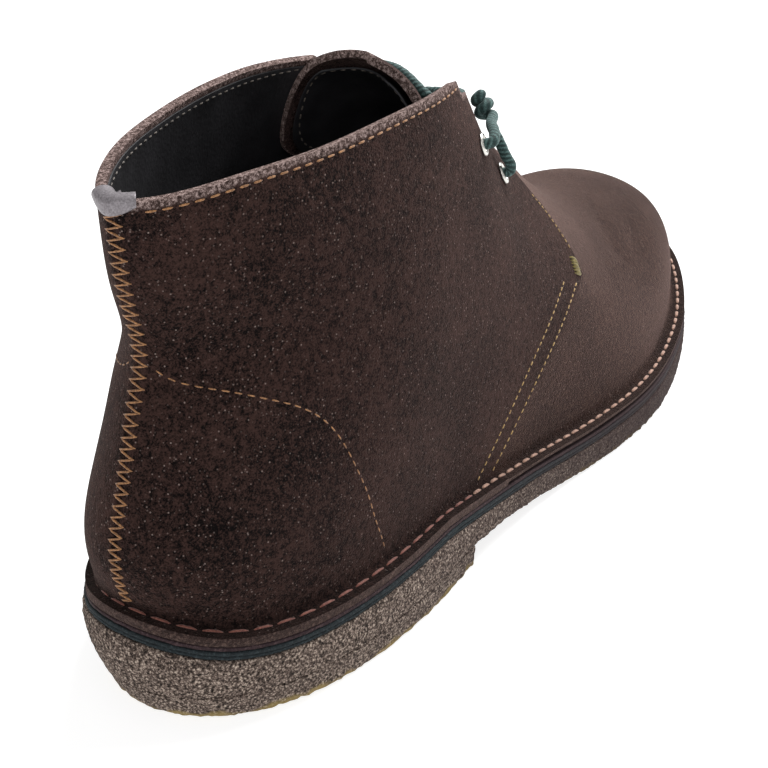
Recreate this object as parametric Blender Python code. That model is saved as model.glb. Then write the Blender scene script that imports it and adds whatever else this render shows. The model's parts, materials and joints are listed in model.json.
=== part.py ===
"""Right-foot chukka boot: suede upper with open lacing, stitched down onto a crepe sole.

Lengths in the tables are millimetres.  The toe points along +X, the outer side of
the foot is -Y, and the boot stands on Z = 0.
"""
import math

import bmesh
import bpy
import numpy as np
from mathutils import Vector

MM = 0.001
ORIGIN = np.array((152.03, 1.13, 0.0))   # plan centre of the boot (mm): the part's origin

# ---- driving sizes (mm) ----
HEEL_AXIS = 80.0          # station where the rounded heel meets the straight waist
TOE_START = 238.0         # station where the toe begins to close
FOOT_LENGTH = 304.0       # station of the toe tip at the feather line
TOE_FULLNESS = 2.25       # 2 = round toe, more = squarer toe
HEEL_FEATHER_LIFT = 6.3   # rise of the feather line at the back seam
HEEL_LIFT_RUN = 24.0      # how far forward that rise fades
WALL = 1.4                # vamp and lining together
QUARTER_STEP = 1.2        # the quarters stand this far proud of the vamp
QUARTER_ROOT = 0.8        # the quarters reach this far into the base wall
LINING_DROP = 0.8         # the lining edge sits this far below the quarter edge
FLANGE_WIDTH = 6.0        # stitched-down edge beyond the feather line
HEEL_TRIM = 2.4           # that edge is narrower round the inner heel
TOE_TRIM = 0.9            # and at the toe
FLANGE_THICK = 2.0
SEAT_GAP = 0.3            # clearance between neighbouring layers
MIDSOLE_THICK = 3.3
VAMP_BACK = 150.0         # station where the vamp starts under the lacing
QUARTER_FRONT = 175.5     # foremost station of the quarter, at the bar tack
QUARTER_FOOT = 114.6      # station where its front edge meets the sole
LACE_RADIUS = 1.45
EYELET_BORE = 1.9
EYELET_BARREL = 2.2
EYELET_FLANGE = 3.1
EYELET_HOLE = 2.5
HEEL_BREAST = 92.0        # station of the front face of the heel lift
HEEL_HEIGHT = 7.5
HEEL_LEAN = (4.5, -2.4)   # how far the heel block leans from its top to the ground
CREPE_TOP = 16.0
INNER_CORNER = 5.0        # the inner quarter's collar corner stands this far forward
TONGUE_THICK = 2.6
KNOT_PHASE = 2.6          # where the knot's first turn begins
TAB_THICK = 0.9

# Cross-sections of the last.  outer/inner: half widths at the feather line.
# belly: extra width above it; rise: height of the steep side wall;
# crest: half width of the flat over the ridge.
SECTION_COLUMNS = ("x", "outer", "inner", "belly", "rise", "crest", "ridge_z", "feather_z", "ridge_y")
SECTIONS = (
    (80, 34.5, 33.5, 3.0, 55.0, 28.0, 168.0, 22.0, 0.0),
    (95, 34.8, 33.2, 3.0, 53.0, 27.8, 161.0, 20.2, 0.0),
    (112, 35.6, 33.2, 3.0, 48.0, 27.0, 144.0, 18.2, 0.0),
    (130, 37.0, 34.0, 2.5, 42.0, 26.0, 121.0, 16.5, 0.0),
    (155, 40.2, 37.5, 2.0, 34.0, 25.0, 103.0, 14.3, 1.0),
    (180, 44.0, 42.5, 2.0, 27.0, 25.0, 87.0, 13.8, 2.0),
    (205, 46.0, 47.0, 1.5, 21.8, 25.0, 72.4, 14.5, 2.5),
    (230, 44.0, 48.0, 1.5, 18.5, 26.0, 65.0, 16.2, 2.5),
    (255, 39.5, 44.8, 2.0, 17.8, 27.5, 62.8, 19.3, 2.0),
    (280, 35.5, 40.3, 2.5, 16.8, 28.0, 61.8, 23.5, 1.6),
    (304, 33.0, 36.8, 3.0, 15.0, 28.3, 59.0, 28.0, 1.4),
)

# Back of the heel: x of the back seam, and how pointed each level is in plan.
BACK_COLUMNS = ("z", "seam_x", "side_power", "seam_power")
BACK = (
    (22, 1.2, 2.5, 2.3),
    (29, -0.8, 2.45, 2.2),
    (37, -3.6, 2.4, 2.05),
    (44, -4.4, 2.3, 1.95),
    (54, -2.4, 2.25, 1.75),
    (66, 0.8, 2.15, 1.55),
    (77, 3.8, 2.1, 1.42),
    (87, 6.6, 2.0, 1.38),
    (95, 5.6, 2.0, 1.42),
    (102, 3.4, 2.0, 1.47),
    (112, 1.5, 2.0, 1.53),
    (124, 0.0, 2.0, 1.58),
    (142, -2.0, 2.0, 1.6),
    (167, -4.0, 2.0, 1.6),
)

COLLAR_COLUMNS = ("x", "z")
COLLAR = (
    (-5, 124.4),
    (5, 125.3),
    (20, 127.3),
    (40, 128.6),
    (60, 129.9),
    (80, 130.6),
    (100, 130.2),
    (112, 129.2),
    (140, 127.0),
)

# Half gap between the quarters, from the collar corner down to the bar tack.
FACING_COLUMNS = ("x", "half_gap")
FACING = (
    (104.5, 22.6),
    (106, 22.6),
    (108, 22.0),
    (112, 20.6),
    (115, 19.4),
    (121, 16.9),
    (125, 15.2),
    (130, 13.6),
    (135, 12.9),
    (140, 13.7),
    (147, 17.4),
    (155, 21.2),
    (160, 23.1),
    (164, 24.6),
    (167, 26.3),
    (170, 28.3),
    (172, 30.0),
    (174, 32.0),
    (175.5, 35.4),
)

# Underside of the crepe, along the boot.
SOLE_COLUMNS = ("x", "bottom_z")
SOLE = (
    (-12, 7.5),
    (92, 7.5),
    (110, 6.2),
    (130, 3.7),
    (150, 1.2),
    (165, 0.0),
    (215, 0.0),
    (235, 0.6),
    (255, 2.6),
    (280, 6.8),
    (310, 12.6),
)

# Tongue, from its tucked end up to its top: centre line, half width,
# how far the edges fall back and drop, and its middle across the boot.
TONGUE_COLUMNS = ("x", "z", "half", "back", "drop", "y")
TONGUE = (
    (168, 92.2, 14.0, 0.0, 7.5, 0.5),
    (160, 96.6, 17.0, 0.0, 11.5, 0.5),
    (152, 100.0, 19.0, 0.0, 20.5, 0.5),
    (146, 102.8, 20.5, 0.0, 28.4, 0.5),
    (138, 108.4, 20.6, 2.0, 31.0, 0.1),
    (128, 116.2, 21.6, 8.6, 20.5, 0.8),
    (119, 121.8, 23.0, 16.7, 17.6, 2.2),
    (111.2, 127.0, 20.1, 12.2, 9.7, 2.5),
    (104.7, 130.6, 13.5, 6.6, 2.2, 2.5),
    (100.9, 133.1, 4.2, 3.8, 0.0, 2.5),
)

# Eyelets: station and half gap of each pair.
EYELET_COLUMNS = ("x", "half_gap")
EYELETS = (
    (134, 22.8),
    (115.5, 24.7),
)

HEEL_STATIONS = (0, 5, 11, 18, 26, 35, 45, 56, 68, 80)
FORE_STATIONS = (92, 101, 105, 110.5, 116, 122, 130, 140, 150, 160, 170, 182, 196, 210, 224, 238,
                 251, 263, 274, 283, 291, 298, 302, 303.6)
WALL_ROWS = 9
RIDGE_ROWS = 4


def column(rows, names, name):
    """One named column of a table."""
    return [row[names.index(name)] for row in rows]


def spline(xs, ys, flat_start=False):
    """Smooth curve through a table column; flat_start levels its first end."""
    xs = np.asarray(xs, float)
    ys = np.asarray(ys, float)
    count = len(xs)
    step = np.diff(xs)
    matrix = np.zeros((count, count))
    right = np.zeros(count)
    matrix[0, 0] = 1.0
    matrix[-1, -1] = 1.0
    for i in range(1, count - 1):
        matrix[i, i - 1] = step[i - 1]
        matrix[i, i] = 2 * (step[i - 1] + step[i])
        matrix[i, i + 1] = step[i]
        right[i] = 6 * ((ys[i + 1] - ys[i]) / step[i] - (ys[i] - ys[i - 1]) / step[i - 1])
    if flat_start:
        matrix[0, 0] = 2 * step[0]
        matrix[0, 1] = step[0]
        right[0] = 6 * (ys[1] - ys[0]) / step[0]
    bend = np.linalg.solve(matrix, right)

    def value(x):
        x = np.asarray(x, float)
        i = np.clip(np.searchsorted(xs, x) - 1, 0, count - 2)
        a = (xs[i + 1] - x) / step[i]
        b = (x - xs[i]) / step[i]
        curve = ((a ** 3 - a) * bend[i] + (b ** 3 - b) * bend[i + 1]) * step[i] ** 2 / 6
        return a * ys[i] + b * ys[i + 1] + curve

    return value


SECTION = {
    name: spline(column(SECTIONS, SECTION_COLUMNS, "x"), column(SECTIONS, SECTION_COLUMNS, name),
                 name != "feather_z")
    for name in SECTION_COLUMNS[1:]
}
HEEL = {
    name: spline(column(BACK, BACK_COLUMNS, "z"), column(BACK, BACK_COLUMNS, name))
    for name in BACK_COLUMNS[1:]
}
collar_z = spline(column(COLLAR, COLLAR_COLUMNS, "x"), column(COLLAR, COLLAR_COLUMNS, "z"))


def half_gap(x, side):
    """Half gap between the quarters; none behind the collar corner."""
    if side > 0:
        x = x - INNER_CORNER * float(np.clip((140.0 - x) / 30.0, 0.0, 1.0))
    if x < FACING[0][0]:
        return 0.0
    return float(np.interp(x, column(FACING, FACING_COLUMNS, "x"), column(FACING, FACING_COLUMNS, "half_gap")))


def ease(share):
    """Smooth step from 0 to 1."""
    share = float(np.clip(share, 0.0, 1.0))
    return share * share * (3.0 - 2.0 * share)


def edge_reach(station, side, trim=1.0):
    """Reach of the stitched-down edge beyond the feather line."""
    along = side * station
    heel = HEEL_TRIM * ease((along + 30.0) / 55.0) * ease((135.0 - along) / 50.0)
    toe = TOE_TRIM * ease((station - 240.0) / 50.0)
    return FLANGE_WIDTH - trim * (heel + toe)


def sole_bottom(x):
    return float(np.interp(x, column(SOLE, SOLE_COLUMNS, "x"), column(SOLE, SOLE_COLUMNS, "bottom_z")))


def section_point(x, t, side):
    """Point of the last in the upright plane at x; t runs feather 0 to ridge 1."""
    q = np.clip((x - TOE_START) / (FOOT_LENGTH - TOE_START), 0.0, 1.0)
    close = (1.0 - q ** TOE_FULLNESS) ** (1.0 / TOE_FULLNESS)
    middle = SECTION["ridge_y"](x)
    low = SECTION["feather_z"](x)
    half = (SECTION["outer" if side < 0 else "inner"](x) - side * middle) * close
    belly = SECTION["belly"](x) * close
    crest = SECTION["crest"](x) * close
    rise = SECTION["rise"](x) * close
    high = low + (SECTION["ridge_z"](x) - low) * close
    s = 1.0 - t
    y = half * s ** 3 + 3 * (half + belly) * s * s * t + 3 * crest * s * t * t
    z = low * s ** 3 + 3 * (low + rise) * s * s * t + 3 * high * s * t * t + high * t ** 3
    return np.array((float(x), float(middle + side * y), float(z)))


def last_point(station, t, side):
    """Point of the last; below the heel axis the stations turn round the heel."""
    if station >= HEEL_AXIS:
        return section_point(station, t, side)
    turn = 0.5 * math.pi * station / HEEL_AXIS
    ref = section_point(HEEL_AXIS, t, side)
    z = ref[2] + HEEL_FEATHER_LIFT * math.exp(-(station / HEEL_LIFT_RUN) ** 2) * max(0.0, 1.0 - 2.2 * t) ** 1.5
    reach = HEEL_AXIS - float(HEEL["seam_x"](z))
    x = HEEL_AXIS - reach * math.cos(turn) ** (2.0 / float(HEEL["side_power"](z)))
    y = abs(ref[1]) * math.sin(turn) ** (2.0 / float(HEEL["seam_power"](z)))
    return np.array((x, side * y, z))


def last_normal(station, t, side):
    """Outward direction of the last at a point."""
    t0 = max(0.0, t - 0.01)
    t1 = min(1.0, t + 0.01)
    up = last_point(station, t1, side) - last_point(station, t0, side)
    if station < 0.4:
        normal = np.array((-up[2], 0.0, up[0]))
    elif station > FOOT_LENGTH - 0.2:
        normal = np.array((1.0, 0.0, 0.25))
    elif t > 0.985:
        s0 = last_point(station - 0.6, 1.0, side)
        s1 = last_point(min(station + 0.6, FOOT_LENGTH), 1.0, side)
        along = s1 - s0
        normal = np.array((-along[2], 0.0, along[0]))
    else:
        s0 = last_point(max(station - 0.6, 0.0), t, side)
        s1 = last_point(min(station + 0.6, FOOT_LENGTH), t, side)
        normal = np.cross(s1 - s0, up) * -side
        if normal[1] * side < 0 and abs(normal[1]) > 1e-6 and station < TOE_START:
            normal = -normal
    return normal / np.linalg.norm(normal)


def on_last(station, t, side, lift=0.0):
    return last_point(station, t, side) + last_normal(station, t, side) * lift


def find_t(station, side, test):
    """Smallest t at which test(point) turns negative, 1 when it never does."""
    ts = np.linspace(0.05, 1.0, 160)
    before = test(last_point(station, ts[0], side))
    for t0, t1 in zip(ts, ts[1:]):
        after = test(last_point(station, t1, side))
        if after < 0 <= before:
            return float(t0 + (t1 - t0) * before / (before - after))
        before = after
    return 1.0


def quarter_top(station, side, drop=0.0):
    """t of the quarter's upper edge: the collar, then the facing."""
    collar = find_t(station, side, lambda p: float(collar_z(p[0])) - drop - p[2])
    gap = half_gap(station, side)
    if gap == 0.0:
        return collar
    middle = float(SECTION["ridge_y"](station)) if station > HEEL_AXIS else 0.0
    facing = find_t(station, side, lambda p: abs(p[1] - middle) - gap - drop)
    return min(collar, facing)


def height_on_last(x, y, lift):
    """Point above the last at plan position (x, y), lifted along the normal."""
    side = -1 if y < 0 else 1
    middle = float(SECTION["ridge_y"](x))
    t = find_t(x, side, lambda p: abs(p[1] - middle) - abs(y - middle))
    return last_point(x, t, side), last_normal(x, t, side), on_last(x, t, side, lift)


def feather_ring():
    """Stations round the feather line with points and outward plan directions."""
    stations = list(HEEL_STATIONS) + list(FORE_STATIONS) + [FOOT_LENGTH]
    ring = {}
    for side in (-1, 1):
        for station in stations:
            here = last_point(station, 0.0, side)
            if station == 0:
                out = np.array((-1.0, 0.0, 0.0))
            elif station == FOOT_LENGTH:
                out = np.array((1.0, 0.0, 0.0))
            else:
                back = last_point(max(station - 1.2, 0.0), 0.0, side)
                front = last_point(min(station + 0.5 * min(1.2, FOOT_LENGTH - station), FOOT_LENGTH), 0.0, side)
                run = front - back
                out = np.array((-run[1], run[0], 0.0)) * side
            ring[(station, side)] = (here, out / np.linalg.norm(out))
    return stations, ring


STATIONS, RING = feather_ring()


def material(name, colour, roughness, metallic=0.0):
    mat = bpy.data.materials.new(name)
    mat.use_nodes = True
    shader = mat.node_tree.nodes["Principled BSDF"]
    shader.inputs["Base Color"].default_value = (*colour, 1.0)
    shader.inputs["Roughness"].default_value = roughness
    shader.inputs["Metallic"].default_value = metallic
    return mat


def solid(name, points, faces, mat):
    """Closed mesh object from points in mm."""
    mesh = bpy.data.meshes.new(name)
    mesh.from_pydata([tuple((np.asarray(p) - ORIGIN) * MM) for p in points], [], faces)
    bm = bmesh.new()
    bm.from_mesh(mesh)
    bmesh.ops.remove_doubles(bm, verts=bm.verts, dist=0.02 * MM)
    bmesh.ops.dissolve_degenerate(bm, dist=0.01 * MM, edges=bm.edges)
    bmesh.ops.recalc_face_normals(bm, faces=bm.faces)
    bm.to_mesh(mesh)
    bm.free()
    mesh.materials.append(mat)
    obj = bpy.data.objects.new(name, mesh)
    bpy.context.scene.collection.objects.link(obj)
    return obj


def sheet_solid(name, outer, inner, quads, mat):
    """Solid between two matching sheets, closed along every free edge."""
    count = len(outer)
    key = {}
    remap = []
    for i, point in enumerate(outer):
        tag = tuple(np.round(point, 2))
        remap.append(key.setdefault(tag, i))
    used = {}
    clean = []
    for quad in quads:
        face = []
        for i in quad:
            if remap[i] not in face:
                face.append(remap[i])
        if len(face) < 3:
            continue
        clean.append(face)
        for a, b in zip(face, face[1:] + face[:1]):
            used[(a, b)] = used.get((a, b), 0) + 1
    faces = []
    for face in clean:
        faces.append(face)
        faces.append([i + count for i in reversed(face)])
    for (a, b) in used:
        if (b, a) not in used:
            faces.append([b, a, a + count, b + count])
    return solid(name, list(outer) + list(inner), faces, mat)


def grid_quads(first, columns, rows):
    """Quads of a grid stored column by column."""
    quads = []
    for c in range(columns - 1):
        for r in range(rows - 1):
            a = first + c * rows + r
            quads.append([a, a + 1, a + rows + 1, a + rows])
    return quads


def boolean(target, cutter, operation):
    mod = target.modifiers.new(operation.lower(), "BOOLEAN")
    mod.operation = operation
    mod.solver = "EXACT"
    mod.object = cutter
    bpy.context.view_layer.objects.active = target
    for other in bpy.context.scene.objects:
        other.select_set(other == target)
    bpy.ops.object.modifier_apply(modifier=mod.name)
    bpy.data.objects.remove(cutter, do_unlink=True)


# ---- upper ----
def base_wall(mat):
    """Vamp, lining and stitched-down flange in one wall."""
    outer = []
    inner = []
    quads = []
    for side in (-1, 1):
        first = len(outer)
        rows = WALL_ROWS + 2
        for station in STATIONS:
            foot, out = RING[(station, side)]
            edge = foot + out * edge_reach(station, side)
            outer.append(edge)
            inner.append(edge - np.array((0.0, 0.0, FLANGE_THICK)))
            outer.append(foot)
            inner.append(foot - out * WALL - np.array((0.0, 0.0, FLANGE_THICK)))
            top = base_top(station, side)
            for r in range(1, WALL_ROWS + 1):
                t = top * r / WALL_ROWS
                outer.append(last_point(station, t, side))
                inner.append(on_last(station, t, side, -WALL))
        strip = grid_quads(first, len(STATIONS), rows)
        quads += strip if side < 0 else [list(reversed(q)) for q in strip]
        first = len(outer)
        closed = [s for s in STATIONS if s >= VAMP_BACK]
        for station in closed:
            top = base_top(station, side)
            for r in range(RIDGE_ROWS + 1):
                t = top + (1.0 - top) * r / RIDGE_ROWS
                outer.append(last_point(station, t, side))
                inner.append(on_last(station, t, side, -WALL))
        strip = grid_quads(first, len(closed), RIDGE_ROWS + 1)
        quads += strip if side < 0 else [list(reversed(q)) for q in strip]
    return sheet_solid("upper", outer, inner, quads, mat)


def base_top(station, side):
    """t where the steep wall ends: lining edge, or the shoulder of the vamp."""
    if station <= QUARTER_FRONT:
        return quarter_top(station, side, LINING_DROP)
    fade = (station - QUARTER_FRONT) / (FOOT_LENGTH - QUARTER_FRONT)
    start = quarter_top(QUARTER_FRONT, side)
    return start + (0.5 - start) * fade


def quarter_wall(mat):
    """The two quarters, joined at the back seam, standing proud of the vamp."""
    outer = []
    inner = []
    tops = [0, 6, 13, 21, 30, 40, 51, 63, 75, 86, 96, 101, 104.4, 106, 109.4, 111.5, 115, 121, 127, 134,
            141, 147, 153, 159, 165, 170, 174, QUARTER_FRONT]
    rises = [0.0, 0.04] + [r / WALL_ROWS for r in range(1, WALL_ROWS + 1)]
    rows = len(rises)
    order = [(-1, s) for s in reversed(tops)] + [(1, s) for s in tops[1:]]
    for side, station in order:
        foot = station * QUARTER_FOOT / QUARTER_FRONT
        top = quarter_top(station, side)
        for s in rises:
            t = 0.012 + (top - 0.012) * s
            where = foot + (station - foot) * s
            lift = QUARTER_STEP if s > 0 else -0.3
            outer.append(on_last(where, t, side, lift))
            inner.append(on_last(where, t, side, -QUARTER_ROOT))
    return sheet_solid("quarters", outer, inner, grid_quads(0, len(order), rows), mat)


def cylinder(name, centre, axis, radius, length, mat, sides=20):
    """Capped cylinder centred on a point."""
    turn = Vector(axis).to_track_quat("Z", "Y").to_matrix()
    points = []
    for end in (-0.5, 0.5):
        for k in range(sides):
            a = 2 * math.pi * k / sides
            local = Vector((radius * math.cos(a), radius * math.sin(a), length * end))
            points.append(np.array(centre) + np.array(turn @ local))
    faces = [list(range(sides)), list(range(sides, 2 * sides))]
    for k in range(sides):
        n = (k + 1) % sides
        faces.append([k, n, n + sides, k + sides])
    return solid(name, points, faces, mat)


def eyelet_frames():
    """Centre on the quarter's face and outward axis of each eyelet."""
    frames = {}
    for level, (x, gap) in enumerate(EYELETS):
        for side in (-1, 1):
            middle = float(SECTION["ridge_y"](x))
            _, normal, face = height_on_last(x, middle + side * gap, QUARTER_STEP)
            frames[(level, side)] = (face, normal)
    return frames


def make_upper(mat):
    upper = base_wall(mat)
    boolean(upper, quarter_wall(mat), "UNION")
    for (level, side), (face, normal) in EYELET_FRAMES.items():
        boolean(upper, cylinder("hole", face, normal, EYELET_HOLE, 12.0, mat), "DIFFERENCE")
    bm = bmesh.new()
    bm.from_mesh(upper.data)
    bmesh.ops.remove_doubles(bm, verts=bm.verts, dist=0.005 * MM)
    bmesh.ops.dissolve_degenerate(bm, dist=0.004 * MM, edges=bm.edges)
    bm.to_mesh(upper.data)
    bm.free()
    return upper


EYELET_FRAMES = eyelet_frames()


# ---- eyelets and lace ----
def make_eyelet(name, face, normal, mat, sides=20):
    """Rolled metal ring with a barrel through the quarter."""
    profile = (
        (EYELET_BORE, 0.75),
        (EYELET_BORE + 0.55, 0.95),
        (EYELET_FLANGE - 0.25, 0.7),
        (EYELET_FLANGE, 0.42),
        (EYELET_BARREL, 0.42),
        (EYELET_BARREL, -WALL - QUARTER_STEP - 0.2),
        (EYELET_BORE, -WALL - QUARTER_STEP - 0.2),
    )
    turn = Vector(normal).to_track_quat("Z", "Y").to_matrix()
    points = []
    for k in range(sides):
        a = 2 * math.pi * k / sides
        for radius, height in profile:
            local = Vector((radius * math.cos(a), radius * math.sin(a), height))
            points.append(face + np.array(turn @ local))
    count = len(profile)
    faces = []
    for k in range(sides):
        n = (k + 1) % sides
        for r in range(count):
            q = (r + 1) % count
            faces.append([k * count + r, k * count + q, n * count + q, n * count + r])
    return solid(name, points, faces, mat)


def smooth_path(knots, spacing):
    """Evenly spaced points along a smooth curve through the knots."""
    knots = np.asarray(knots, float)
    run = np.concatenate(([0.0], np.cumsum(np.linalg.norm(np.diff(knots, axis=0), axis=1))))
    axes = [spline(run, knots[:, k]) for k in range(3)]
    fine = np.stack([a(np.linspace(0, run[-1], 400)) for a in axes], axis=1)
    length = np.concatenate(([0.0], np.cumsum(np.linalg.norm(np.diff(fine, axis=0), axis=1))))
    count = max(4, int(round(length[-1] / spacing)))
    at = np.linspace(0, length[-1], count + 1)
    return np.stack([np.interp(at, length, fine[:, k]) for k in range(3)], axis=1)


def tube(name, path, radius, mat, sides=8):
    """Round strand swept along a path, with flat ends."""
    path = np.asarray(path)
    tangents = np.gradient(path, axis=0)
    tangents /= np.linalg.norm(tangents, axis=1)[:, None]
    side = np.cross(tangents[0], (0.0, 0.0, 1.0))
    if np.linalg.norm(side) < 0.1:
        side = np.cross(tangents[0], (0.0, 1.0, 0.0))
    points = []
    for here, ahead in zip(path, tangents):
        side = side - ahead * np.dot(side, ahead)
        side /= np.linalg.norm(side)
        up = np.cross(ahead, side)
        for k in range(sides):
            a = 2 * math.pi * k / sides
            points.append(here + (side * math.cos(a) + up * math.sin(a)) * radius)
    count = len(path)
    faces = [list(range(sides)), list(range((count - 1) * sides, count * sides))]
    for c in range(count - 1):
        for k in range(sides):
            n = (k + 1) % sides
            a = c * sides
            faces.append([a + k, a + n, a + n + sides, a + k + sides])
    return solid(name, points, faces, mat)


def through(level, side, height):
    """Point on the axis of an eyelet, height above the quarter's face."""
    face, normal = EYELET_FRAMES[(level, side)]
    return face + normal * height


def lace_paths():
    """Centre lines of the laced strands."""
    under = -WALL - QUARTER_STEP - 1.95
    bar = [
        (133.0, -19.4, 112.5),
        (133.3, -21.7, 109.0),
        (133.7, -23.4, 106.0),
        (134.2, -25.0, 103.0),
        (134.9, -26.0, 100.8),
        through(0, -1, 2.3),
        through(0, -1, 0.6),
        through(0, -1, -2.2),
        through(0, -1, under) + np.array((0.5, 1.0, 0.0)),
        (138.4, -12.6, 102.4),
        (139.4, -8.5, 106.6),
        (139.6, 0.0, 110.0),
        (139.4, 8.5, 106.6),
        (138.4, 12.4, 103.0),
        through(0, 1, under) + np.array((0.7, -0.8, 0.6)),
        through(0, 1, -2.2),
        through(0, 1, 0.6),
        through(0, 1, 2.6),
        (135.6, 25.0, 103.6),
        (136.4, 20.6, 109.2),
        (137.0, 14.6, 113.4),
        (137.0, 6.0, 116.0),
        (136.4, -3.0, 117.4),
        (135.6, -10.2, 118.0),
    ]
    over = [
        through(1, 1, -2.9),
        through(1, 1, 0.8),
        through(1, 1, 3.0),
        (118.2, 26.9, 116.0),
        (117.4, 23.8, 121.2),
        (116.6, 19.6, 125.2),
        (115.0, 13.0, 127.2),
        (113.0, 5.0, 128.6),
        (112.0, -2.0, 128.5),
        (110.6, -8.0, 126.0),
        (110.8, -13.0, 122.8),
        (114.0, -15.0, 121.6),
        (118.6, -15.0, 122.2),
        (122.6, -14.6, 121.8),
        (125.8, -14.6, 120.8),
    ]
    return smooth_path(bar, 2.2), smooth_path(over, 2.2)


def knot_path():
    """Lace coming up through the outer top eyelet into the tied knot of two turns."""
    centre = np.array((129.9, -18.8, 117.7))
    axis = np.array((0.19, 0.47, 0.86))
    axis /= np.linalg.norm(axis)
    east = np.cross(axis, (0.0, 1.0, 0.0))
    east /= np.linalg.norm(east)
    north = np.cross(axis, east)
    points = [through(1, -1, h) for h in (-2.9, -1.4, 0.0, 1.3, 2.5)]
    points += [(119.4, -27.4, 113.6), (122.6, -25.4, 114.3), (125.6, -23.4, 114.6)]
    for k in range(26):
        a = 2 * math.pi * 1.8 * k / 25 + KNOT_PHASE
        rise = -3.0 + 6.0 * k / 25
        points.append(centre + axis * rise + (east * math.cos(a) + north * math.sin(a)) * 1.5)
    return smooth_path(points, 1.2)


def cord(name, points, radius, mat):
    """Lace modelled as a curve with a round bevel."""
    data = bpy.data.curves.new(name, "CURVE")
    data.dimensions = "3D"
    data.bevel_depth = radius * MM
    data.bevel_resolution = 2
    data.use_fill_caps = True
    line = data.splines.new("POLY")
    line.points.add(len(points) - 1)
    for item, point in zip(line.points, points):
        item.co = (*((np.asarray(point) - ORIGIN) * MM), 1.0)
    data.materials.append(mat)
    obj = bpy.data.objects.new(name, data)
    bpy.context.scene.collection.objects.link(obj)
    return obj


# ---- tongue, tab and sole ----
def make_tongue(mat):
    """Arched tongue leaning back from the lacing."""
    run = np.arange(len(TONGUE), dtype=float)
    line = {n: spline(run, column(TONGUE, TONGUE_COLUMNS, n)) for n in TONGUE_COLUMNS}
    along = np.concatenate((np.linspace(0, 7, 15), (7.4, 7.8, 8.2, 8.5, 8.75, 9.0)))
    across = 12

    def point(s, u):
        wide = float(line["half"](s)) * math.sin(0.5 * math.pi * u) if abs(u) < 1 else float(line["half"](s)) * u
        share = (wide / max(float(line["half"](s)), 0.1)) ** 2
        x = float(line["x"](s)) - float(line["back"](s)) * share
        z = float(line["z"](s)) - float(line["drop"](s)) * share
        return np.array((x, wide + float(line["y"](s)), z))

    outer = []
    inner = []
    for s in along:
        for k in range(across + 1):
            u = -1.0 + 2.0 * k / across
            here = point(s, u)
            du = point(s, min(u + 0.03, 1.0)) - point(s, max(u - 0.03, -1.0))
            ds = point(min(s + 0.05, 9.0), u) - point(max(s - 0.05, 0.0), u)
            normal = np.cross(du, ds)
            normal /= np.linalg.norm(normal)
            if normal[2] < 0:
                normal = -normal
            outer.append(here)
            inner.append(here - normal * TONGUE_THICK)
    return sheet_solid("tongue", outer, inner, grid_quads(0, len(along), across + 1), mat)


def make_heel_tab(mat):
    """Narrow folded binding over the back of the collar."""
    outside = QUARTER_STEP + SEAT_GAP + 0.15
    inside = -WALL - SEAT_GAP - 0.15
    rest = SEAT_GAP + 0.2
    profile = (
        (-2.7, outside, 0), (-2.7, outside, 1), (0.1, outside, 1), (rest + TAB_THICK, outside, 0.3),
        (rest + TAB_THICK, inside, -0.3), (0.1, inside, -1), (-4.0, inside, -1), (-4.0, inside, 0),
        (rest, inside, 0), (rest, outside, 0),
    )
    points = []
    spans = [(-1, s) for s in (12.0, 9.5, 7.0, 4.5, 2.0)] + [(1, s) for s in (0.0, 2.0, 4.5, 7.0, 9.5, 12.0)]
    for side, station in spans:
        top = quarter_top(station, side)
        edge = last_point(station, top, side)
        normal = last_normal(station, top, side)
        if station < 3.0:
            normal = normal * np.array((1.0, 1.0, 0.0))
        normal = normal * np.array((1.0, 1.0, 0.0))
        normal /= np.linalg.norm(normal)
        for rise, lift, grow in profile:
            base = edge + np.array((0.0, 0.0, rise))
            t = find_t(station, side, lambda p: edge[2] + min(rise, 0.0) - p[2])
            lean = last_point(station, t, side) - edge
            shift = np.array((lean[0], lean[1], 0.0))
            points.append(base + shift + normal * (lift + grow * TAB_THICK))
    count = len(profile)
    faces = [list(range(count)), list(range((len(spans) - 1) * count, len(spans) * count))]
    for c in range(len(spans) - 1):
        for k in range(count):
            n = (k + 1) % count
            a = c * count
            faces.append([a + k, a + n, a + n + count, a + k + count])
    return solid("heel_tab", points, faces, mat)


def heel_lean(point):
    """Sole point moved by the lean of the heel block."""
    share = min(1.0, max(0.0, (CREPE_TOP - point[2]) / CREPE_TOP))
    share *= min(1.0, max(0.0, (135.0 - point[0]) / 60.0))
    return point + np.array((HEEL_LEAN[0], HEEL_LEAN[1], 0.0)) * share


def plate(name, stations, top, bottom, mat):
    """Layer of the sole following the feather line.  top and bottom are each
    (reach beyond the stitched-down edge, share of its trim, height of a point)."""
    sheets = []
    for offset, trim, height in (top, bottom):
        points = []
        for station in stations:
            for side in (-1, 1):
                foot, out = RING[(station, side)]
                here = foot + out * (edge_reach(station, side, trim) + offset)
                points.append(heel_lean(np.array((here[0], here[1], height(here[0], foot[2])))))
        sheets.append(points)
    return sheet_solid(name, *sheets, grid_quads(0, len(stations), 2), mat)


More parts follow.
